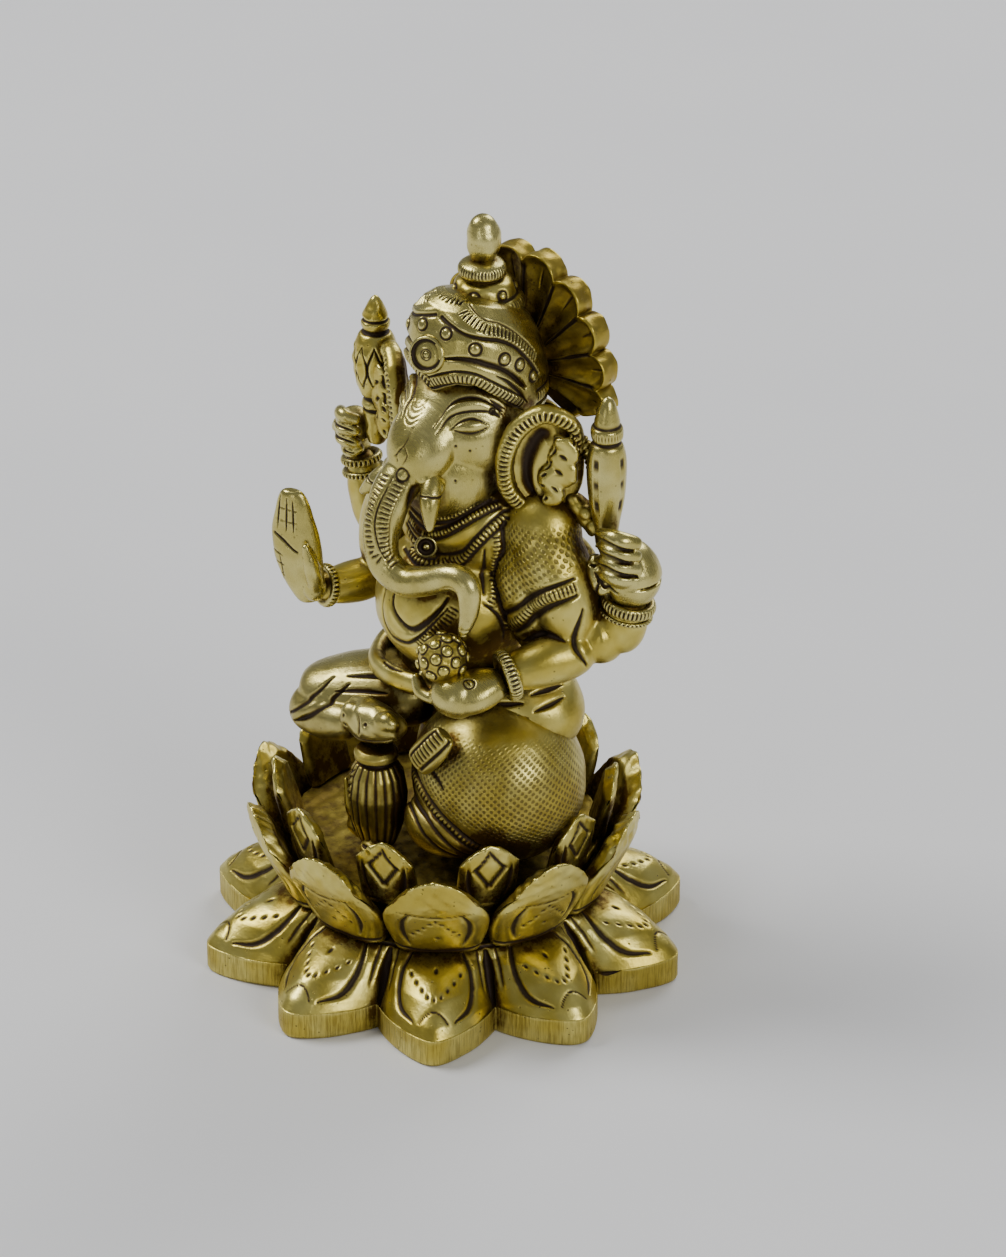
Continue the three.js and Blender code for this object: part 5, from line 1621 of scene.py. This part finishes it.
def make_stage():
    """A pale floor, soft studio light and the camera."""
    look = bpy.context.scene.idol_stage
    bpy.ops.object.select_all(action="DESELECT")
    bpy.ops.mesh.primitive_grid_add(x_subdivisions=8, y_subdivisions=8, size=8, location=(0, 0, 0))
    floor = bpy.context.active_object
    floor.name = "pale_floor"
    paper = bpy.data.materials.new("matt_pale_card")
    paper.use_nodes = True
    tree = paper.node_tree
    tree.nodes.clear()
    place = add_node(tree, "ShaderNodeTexCoord").outputs["Object"]
    grain = add_node(tree, "ShaderNodeTexNoise",
                     {"Vector": place, "Scale": per_metre(60), "Detail": 2.0}).outputs["Fac"]
    tint = add_node(tree, "ShaderNodeMix", {0: grain, 6: (*look.floor_colour, 1),
                                            7: (*to_linear("#e8e8e9"), 1)},
                    data_type="RGBA").outputs[2]
    card = add_node(tree, "ShaderNodeBsdfPrincipled", {"Base Color": tint, "Roughness": 0.75})
    add_node(tree, "ShaderNodeOutputMaterial", {"Surface": card.outputs[0]})
    floor.data.materials.append(paper)

    target = Vector((0.0066, 0.0084, 0.0633))
    for name, spot, size, power in (
        ("key_softbox", (-0.75, -0.35, 1.05), 0.55, look.key_power),
        ("fill_softbox", (0.95, -0.15, 0.55), 0.45, look.fill_power),
        ("back_softbox", (-0.2, 0.95, 0.75), 0.6, look.back_power),
        ("front_card", (0.35, -1.25, 0.25), 0.3, look.front_power),
    ):
        bpy.ops.object.light_add(type="AREA", location=spot)
        lamp = bpy.context.active_object
        lamp.name = name
        lamp.data.size = size
        lamp.data.energy = power
        aim(lamp, target)
    world = bpy.context.scene.world or bpy.data.worlds.new("studio")
    bpy.context.scene.world = world
    world.use_nodes = True
    world.node_tree.nodes["Background"].inputs[0].default_value = (*to_linear("#cfd2d6"), 1)
    world.node_tree.nodes["Background"].inputs[1].default_value = look.sky_strength

    bpy.ops.object.camera_add(location=(0.5926, -0.6424, 0.5461))
    camera = bpy.context.active_object
    aim(camera, target)
    camera.data.sensor_width = 36
    camera.data.lens = look.lens
    camera.data.clip_start = 0.05
    bpy.context.scene.camera = camera


# ---- add-on ----
class IDOL_PG_look(bpy.types.PropertyGroup):
    chase_depth: bpy.props.FloatProperty(
        name="Chasing depth",
        description="How deep the engraved lines are, as a share of their usual depth",
        default=1.0, min=0.2, max=2.0, subtype="FACTOR")
    lacquer_strength: bpy.props.FloatProperty(
        name="Lacquer", description="How much dark lacquer is left in the cuts", default=1.0, min=0.0,
        max=1.5,
        subtype="FACTOR")
    dot_pitch: bpy.props.FloatProperty(
        name="Cloth dot spacing", description="Distance between the punched dots of the cloth",
        default=0.00095,
        min=0.0004, max=0.004, unit="LENGTH", subtype="DISTANCE")
    bright: bpy.props.FloatVectorProperty(
        name="Brass", description="Colour of clean cast brass", default=to_linear("#c4b04c"), size=3,
        subtype="COLOR")
    pale: bpy.props.FloatVectorProperty(
        name="Rubbed brass", description="Colour of brass where wiping keeps it bright",
        default=to_linear("#dfd279"),
        size=3, subtype="COLOR")
    rubbed: bpy.props.FloatVectorProperty(
        name="Handled brass", description="Colour of the face, trunk and hands",
        default=to_linear("#c0b364"), size=3,
        subtype="COLOR")
    # This colour serves both for real tarnish and for painted shade.
    tarnish_and_shade: bpy.props.FloatVectorProperty(
        name="Tarnish", description="Colour of brass that nobody polishes", default=to_linear("#5e461b"),
        size=3,
        subtype="COLOR")


class IDOL_PG_stage(bpy.types.PropertyGroup):
    lens: bpy.props.FloatProperty(
        name="Lens", description="Focal length of the camera", default=159.5, min=50, max=300,
        subtype="DISTANCE_CAMERA",
        unit="CAMERA")
    key_power: bpy.props.FloatProperty(
        name="Key light", description="Power of the big soft light overhead", default=11.0, min=0,
        subtype="POWER")
    fill_power: bpy.props.FloatProperty(
        name="Fill light", description="Power of the light at the figure's left", default=4.0, min=0,
        subtype="POWER")
    back_power: bpy.props.FloatProperty(
        name="Back light", description="Power of the light behind", default=5.0, min=0, subtype="POWER")
    front_power: bpy.props.FloatProperty(
        name="Front card", description="Power of the small low light in front", default=0.6, min=0,
        subtype="POWER")
    sky_strength: bpy.props.FloatProperty(
        name="Room light", description="Strength of the even light from all round", default=0.38, min=0,
        subtype="FACTOR",
        max=3.0)
    floor_colour: bpy.props.FloatVectorProperty(
        name="Floor", description="Colour of the floor", default=to_linear("#efeeee"), size=3,
        subtype="COLOR")


class IDOL_OT_foot(bpy.types.Operator):
    """Adds the ten-petal foot"""
    bl_idname = "idol.foot"
    bl_label = "Lotus foot"

    def execute(self, context):
        make_foot()
        return {"FINISHED"}


class IDOL_OT_bowl(bpy.types.Operator):
    """Adds the unpolished floor inside the lotus"""
    bl_idname = "idol.bowl"
    bl_label = "Lotus floor"

    def execute(self, context):
        make_bowl()
        return {"FINISHED"}


class IDOL_OT_petals(bpy.types.Operator):
    """Adds both rings of standing petals"""
    bl_idname = "idol.petals"
    bl_label = "Lotus petals"

    def execute(self, context):
        make_petals()
        return {"FINISHED"}


class IDOL_OT_body(bpy.types.Operator):
    """Adds the torso with all four arms"""
    bl_idname = "idol.body"
    bl_label = "Body and arms"

    def execute(self, context):
        make_body()
        return {"FINISHED"}


class IDOL_OT_legs(bpy.types.Operator):
    """Adds the folded left leg and the raised right one"""
    bl_idname = "idol.legs"
    bl_label = "Legs"

    def execute(self, context):
        make_left_thigh()
        make_right_leg()
        return {"FINISHED"}


class IDOL_OT_footrest(bpy.types.Operator):
    """Adds the fluted bud under the right foot and its leaf"""
    bl_idname = "idol.footrest"
    bl_label = "Footrest"

    def execute(self, context):
        make_footrest()
        return {"FINISHED"}


class IDOL_OT_sash(bpy.types.Operator):
    """Adds the ribbed end of the sash"""
    bl_idname = "idol.sash"
    bl_label = "Sash end"

    def execute(self, context):
        make_sash()
        return {"FINISHED"}


class IDOL_OT_head(bpy.types.Operator):
    """Adds the head with its trunk"""
    bl_idname = "idol.head"
    bl_label = "Head and trunk"

    def execute(self, context):
        make_head()
        return {"FINISHED"}


class IDOL_OT_tusks(bpy.types.Operator):
    """Adds the long tusk and the broken one"""
    bl_idname = "idol.tusks"
    bl_label = "Tusks"

    def execute(self, context):
        make_tusks()
        return {"FINISHED"}


class IDOL_OT_ears(bpy.types.Operator):
    """Adds both ears"""
    bl_idname = "idol.ears"
    bl_label = "Ears"

    def execute(self, context):
        make_ear(1, "ear_left_folded", "ear_left")
        make_ear(-1, "ear_right_folded", "ear_right")
        return {"FINISHED"}


class IDOL_OT_crown(bpy.types.Operator):
    """Adds the crown cap and its medallion"""
    bl_idname = "idol.crown"
    bl_label = "Crown"

    def execute(self, context):
        make_crown()
        return {"FINISHED"}


class IDOL_OT_knot(bpy.types.Operator):
    """Adds the ringed knot and bud on the crown"""
    bl_idname = "idol.knot"
    bl_label = "Crown knot"

    def execute(self, context):
        make_crown_top()
        return {"FINISHED"}


class IDOL_OT_fan(bpy.types.Operator):
    """Adds the lobed fan behind the crown"""
    bl_idname = "idol.fan"
    bl_label = "Lobed fan"

    def execute(self, context):
        make_fan()
        return {"FINISHED"}


class IDOL_OT_offering_hand(bpy.types.Operator):
    """Adds the front left hand and its sweets"""
    bl_idname = "idol.offering_hand"
    bl_label = "Offering hand"

    def execute(self, context):
        make_front_left_hand()
        return {"FINISHED"}


class IDOL_OT_blessing_hand(bpy.types.Operator):
    """Adds the raised front right hand"""
    bl_idname = "idol.blessing_hand"
    bl_label = "Blessing hand"

    def execute(self, context):
        make_front_right_hand()
        return {"FINISHED"}


class IDOL_OT_goad_hand(bpy.types.Operator):
    """Adds the rear right hand and its goad"""
    bl_idname = "idol.goad_hand"
    bl_label = "Hand and goad"

    def execute(self, context):
        make_rear_right_hand()
        return {"FINISHED"}


class IDOL_OT_mace_hand(bpy.types.Operator):
    """Adds the rear left fist, its mace and the twisted strand"""
    bl_idname = "idol.mace_hand"
    bl_label = "Hand and mace"

    def execute(self, context):
        make_rear_left_hand()
        return {"FINISHED"}


class IDOL_OT_jewellery(bpy.types.Operator):
    """Adds the bangles, the pendant and the shoulder curls"""
    bl_idname = "idol.jewellery"
    bl_label = "Jewellery"

    def execute(self, context):
        make_jewellery()
        return {"FINISHED"}


class IDOL_OT_finishes(bpy.types.Operator):
    """Marks where the brass is dark or rubbed, and gives each piece its brass"""
    bl_idname = "idol.finishes"
    bl_label = "Age and finishes"

    def execute(self, context):
        age_and_painted_shade()
        make_finishes()
        return {"FINISHED"}


class IDOL_OT_stage(bpy.types.Operator):
    """Adds the floor, the lights and the camera"""
    bl_idname = "idol.stage"
    bl_label = "Stage"

    def execute(self, context):
        make_stage()
        return {"FINISHED"}


STEPS = (
    IDOL_OT_foot, IDOL_OT_bowl, IDOL_OT_petals, IDOL_OT_body, IDOL_OT_legs,
    IDOL_OT_footrest, IDOL_OT_sash, IDOL_OT_head, IDOL_OT_tusks, IDOL_OT_ears,
    IDOL_OT_crown, IDOL_OT_knot, IDOL_OT_fan, IDOL_OT_offering_hand, IDOL_OT_blessing_hand,
    IDOL_OT_goad_hand, IDOL_OT_mace_hand, IDOL_OT_jewellery, IDOL_OT_finishes, IDOL_OT_stage,
)


class IDOL_PT_panel(bpy.types.Panel):
    """Lists the steps that make the idol, in order"""
    bl_idname = "IDOL_PT_panel"
    bl_label = "Brass idol"
    bl_space_type = "VIEW_3D"
    bl_region_type = "UI"
    bl_category = "Idol"

    def draw(self, context):
        layout = self.layout
        for group in (context.scene.idol_look, context.scene.idol_stage):
            for name in type(group).__annotations__:
                layout.prop(group, name)
        for step in STEPS:
            layout.operator(step.bl_idname)


CLASSES = (IDOL_PG_look, IDOL_PG_stage, *STEPS, IDOL_PT_panel)


def register():
    for each in CLASSES:
        bpy.utils.register_class(each)
    bpy.types.Scene.idol_look = bpy.props.PointerProperty(type=IDOL_PG_look)
    bpy.types.Scene.idol_stage = bpy.props.PointerProperty(type=IDOL_PG_stage)


def unregister():
    del bpy.types.Scene.idol_stage
    del bpy.types.Scene.idol_look
    for each in reversed(CLASSES):
        bpy.utils.unregister_class(each)


def main():
    register()
    for step in STEPS:
        getattr(bpy.ops.idol, step.bl_idname.split(".")[1])()


if __name__ == "__main__":
    main()
